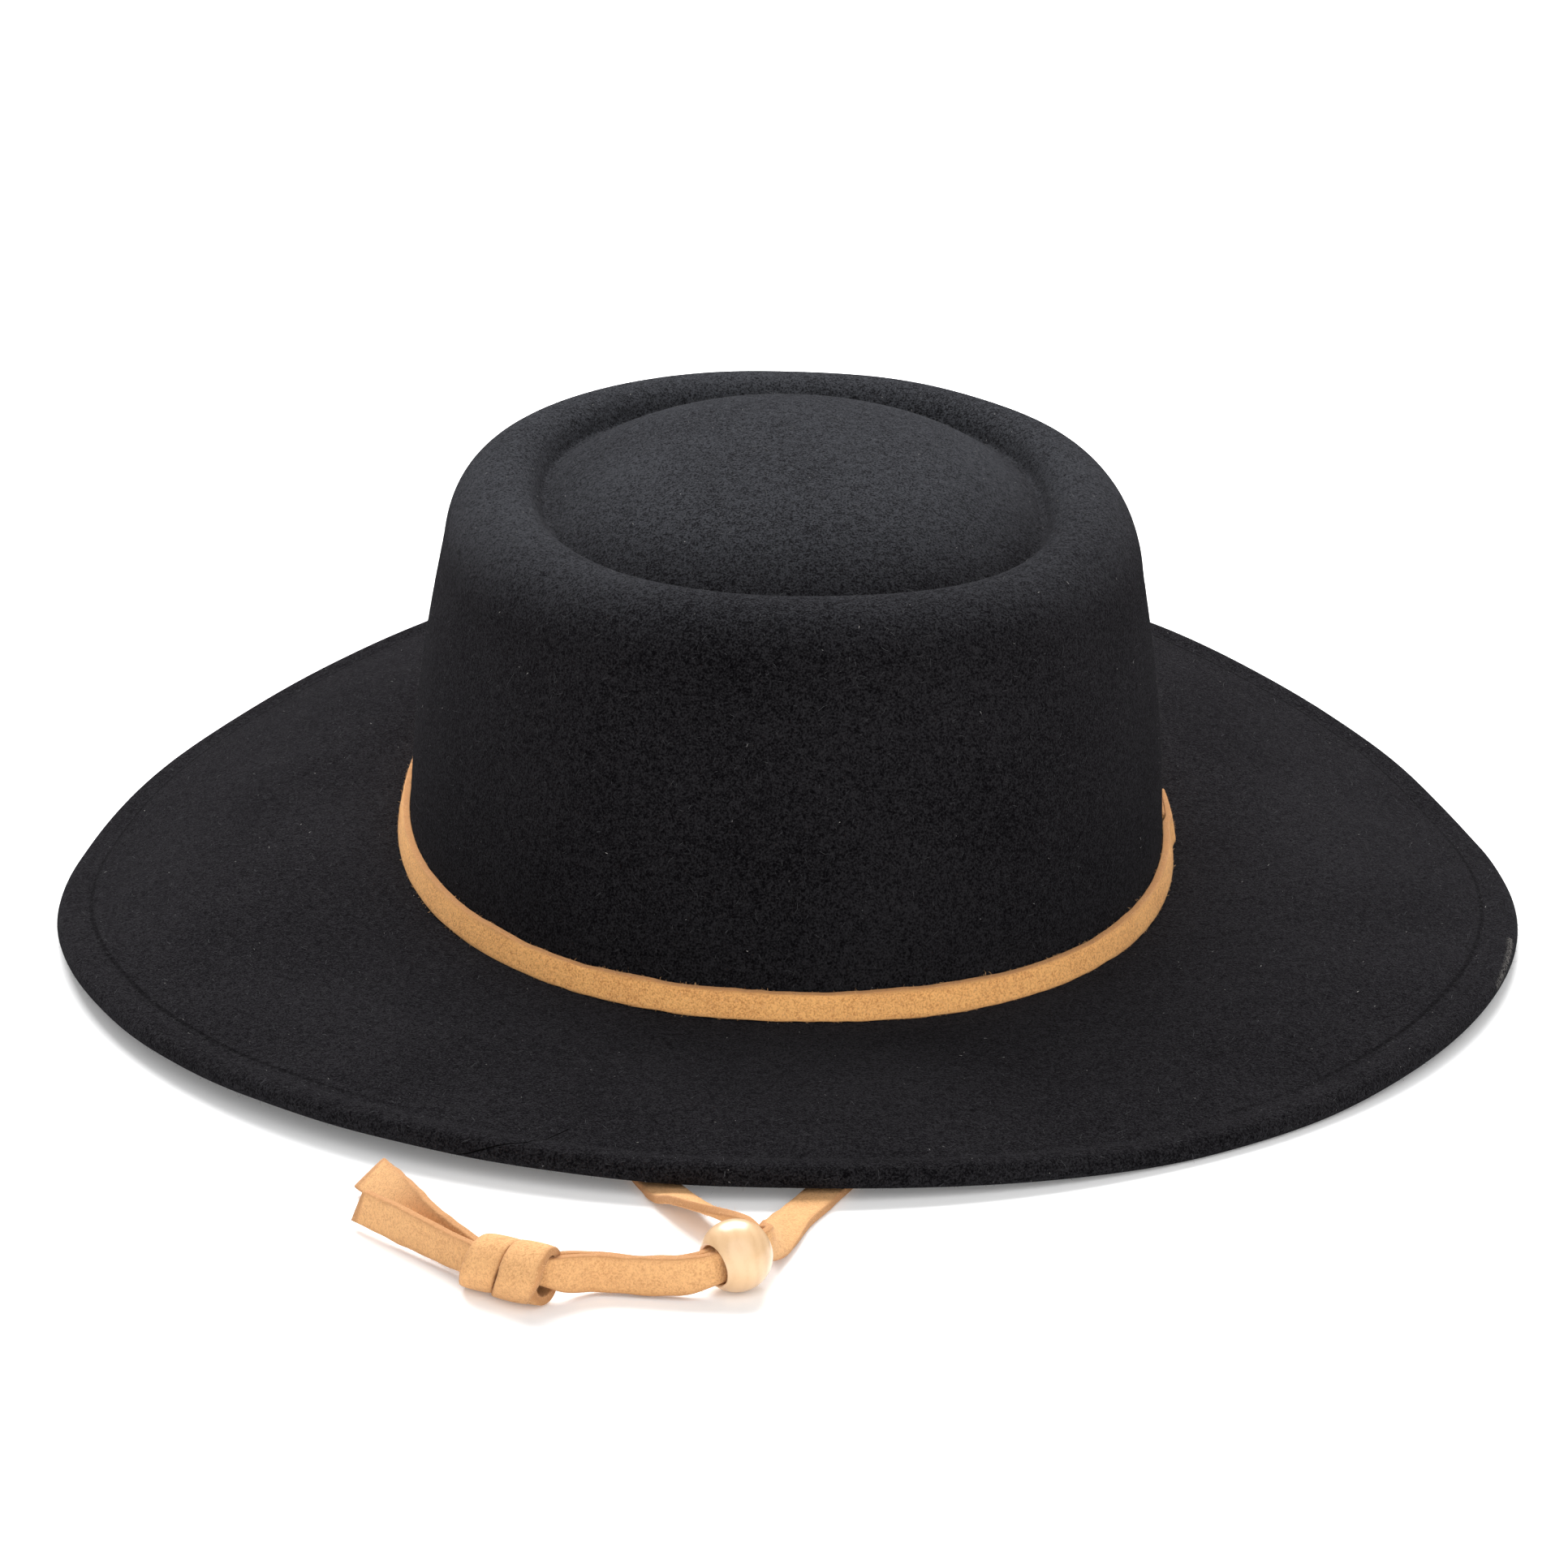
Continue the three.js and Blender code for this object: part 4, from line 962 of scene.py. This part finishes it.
# Loose fibres, specks and nap: leaf-shaped slips of three triangles each, with their roots at random
# places of a surface, picked in proportion to its area. A slip runs from its root to root + lean +
# lift + sideways bend, all times its length, and lean is turned by a random angle in the surface.
def slips(name, surface, count, length, width, lift, material, seed):
    s = slipSpread
    rng = np.random.default_rng(seed)
    normals = gridNormals(surface)
    middle = surface.shape[0] // 2
    outward = surface[middle, 0] - surface[middle].mean(0)
    if normals[middle, 0] @ outward < 0:
        normals = -normals
    alongAll, aroundAll = np.gradient(surface, axis=0), np.roll(surface, -1, axis=1) - surface
    area = (np.linalg.norm(alongAll, axis=2) * np.linalg.norm(aroundAll, axis=2)).ravel()
    area[surface[..., 2].ravel() < s["clearOfTable"]] = 0
    picked = rng.choice(len(area), count, p=area / area.sum())
    along, around, n, root = (whole.reshape(-1, 3)[picked]
                              for whole in (alongAll, aroundAll, normals, surface))
    jitter = rng.uniform(-0.5, 0.5, (count, 2))
    root = root + around * jitter[:, :1] + along * jitter[:, 1:]
    turn = rng.uniform(0, tau, count)[:, None]
    flatOne = unit(along)
    lean = flatOne * np.cos(turn) + np.cross(n, flatOne) * np.sin(turn)
    sideways = np.cross(n, lean)
    size = (length * rng.lognormal(0, s["length"], count))[:, None]
    rise = (lift * rng.uniform(s["liftFrom"], 1.0, count))[:, None]
    bend = rng.normal(0, s["bend"], (count, 1))
    half = sideways * (width / 2 * rng.uniform(s["widthFrom"], s["widthTo"], count))[:, None]
    belly = root + (lean * 0.5 + n * rise * s["halfLift"] + sideways * bend * s["halfBend"]) * size
    tip = root + (lean * (1 - s["pulledIn"] * rise) + n * rise + sideways * bend) * size
    points = np.stack([root - half, root + half, belly + half, belly - half, tip], axis=1).reshape(-1, 3)
    base = np.arange(count)[:, None] * 5
    return meshPiece(name, points, base + np.array([[0, 1, 2, 3]]), base + np.array([[3, 2, 4]]), material)


# metres and watts; the softbox hangs behind and above the hat, the weak fill comes from the front
lighting = {
    "sky": 0.30, "boxAt": (-0.14, 1.12, 1.45), "boxSize": (1.6, 1.2), "boxPower": 78.0,
    "fill": 2.3, "fillAngle": 80.0, "fillTurn": (55.0, 0.0, 10.0),
    "floorSize": 14.0, "floorColour": (0.92, 0.92, 0.92, 1), "floorGlow": 0.13,
    "floorRoughness": 0.9, "floorGloss": 0.2,
}


def makeStage(place):
    world = bpy.data.worlds.new("studio")
    world.use_nodes = True
    background = world.node_tree.nodes["Background"]
    background.inputs["Color"].default_value = (1, 1, 1, 1)
    background.inputs["Strength"].default_value = place["sky"]
    bpy.context.scene.world = world
    box = bpy.data.lights.new("softbox", "AREA")
    box.shape = "RECTANGLE"
    box.size, box.size_y = place["boxSize"]
    box.energy = place["boxPower"]
    lamp = bpy.data.objects.new("softbox", box)
    lamp.location = place["boxAt"]
    lamp.rotation_euler = Vector(place["boxAt"]).to_track_quat("Z", "Y").to_euler()
    fill = bpy.data.lights.new("fill", "SUN")
    fill.energy = place["fill"]
    fill.angle = math.radians(place["fillAngle"])
    frontLamp = bpy.data.objects.new("fill", fill)
    frontLamp.rotation_euler = [math.radians(turn) for turn in place["fillTurn"]]
    for item in (lamp, frontLamp):
        bpy.context.collection.objects.link(item)
    half = place["floorSize"] / 2
    corners = np.array([(-half, -half, 0), (half, -half, 0), (half, half, 0), (-half, half, 0)])
    material, nodes, surface, _ = newMaterial("whiteTable")
    setSurface(nodes, surface, {
        "Base Color": place["floorColour"], "Roughness": place["floorRoughness"],
        "Specular IOR Level": place["floorGloss"],
        "Emission Color": (1, 1, 1, 1), "Emission Strength": place["floorGlow"],
    })
    floor = meshPiece("floor", corners, np.array([[0, 1, 2, 3]]), np.zeros((0, 3), int), material)
    scene = bpy.context.scene
    scene.view_settings.view_transform = "Standard"
    scene.view_settings.look = "None"


makeCamera(cameraPlace)
print("camera done")

fibres = makeFibreGroup(fibreMix)
suede = makeSuede(fibres, "tanSuede", suedeLook["laceDark"], suedeLook["laceLight"], suedeLook)
bandSuede = makeSuede(fibres, "bandSuede", suedeLook["bandDark"], suedeLook["bandLight"], suedeLook)
felt = makeFelt(fibres, feltLook)
wood = makeWood(woodLook)
print("materials done")

leftLace, leftPath, leftSurface = chinLace("lace_left", leftLaceRows, 31, 0.5, suede)
rightLace, rightPath, rightSurface = chinLace("lace_right", rightLaceRows, 41, 0.25, suede)
bead = slideBead(wood)
knot, knotSurface = laceKnot(suede)
for piece in (leftLace, rightLace, bead, knot):
    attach(piece, "root")
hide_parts("chin_lace_left", "lace_tail_front")
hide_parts("chin_lace_right", "lace_tail_back")
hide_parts("slide_bead")
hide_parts("lace_knot")
pathLength(leftPath)
pathLength(rightPath)
print("laces, bead and knot done:", round(pathLength(leftPath), 4), round(pathLength(rightPath), 4))

body, feltSurface = feltBody(felt)
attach(body, "root")
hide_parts("felt_body")
print("felt done")

band, bandSurface = hatBand(bandSuede)
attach(band, "root")
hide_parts("hat_band")
print("band done")

fuzzMaterial = makeFibre("feltFibre", (0.012, 0.012, 0.013, 1), fibreLook)
hairMaterial = makeFibre("paleFibre", (0.055, 0.055, 0.058, 1), fibreLook)
lintMaterial = makeFibre("lint", (0.32, 0.31, 0.30, 1), fibreLook)
napMaterial = makeFibre("suedeNap", (0.72, 0.42, 0.20, 1), fibreLook)

# name, surface, count, length and width, lift as a share of the length, material, seed
fuzz = slips("felt_fibres", feltSurface, 62000, 0.8 * mm, 0.032 * mm, 0.8, fuzzMaterial, 5)
lint = slips("felt_specks", feltSurface, 420, 0.40 * mm, 0.09 * mm, 0.25, lintMaterial, 6)
paleHair = slips("felt_hairs", feltSurface, 5200, 1.1 * mm, 0.05 * mm, 0.35, hairMaterial, 7)
for piece in (fuzz, lint, paleHair):
    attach(piece, "root")
bandNap = slips("band_nap", bandSurface, 16000, 0.45 * mm, 0.05 * mm, 0.7, napMaterial, 8)
leftNap = slips("left_lace_nap", leftSurface, 7000, 0.40 * mm, 0.05 * mm, 0.6, napMaterial, 9)
rightNap = slips("right_lace_nap", rightSurface, 7000, 0.40 * mm, 0.05 * mm, 0.6, napMaterial, 10)
knotNap = slips("knot_nap", knotSurface, 3000, 0.40 * mm, 0.05 * mm, 0.6, napMaterial, 11)
for piece in (bandNap, leftNap, rightNap, knotNap):
    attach(piece, "root")
print("fibres done")

makeStage(lighting)
print("stage done")
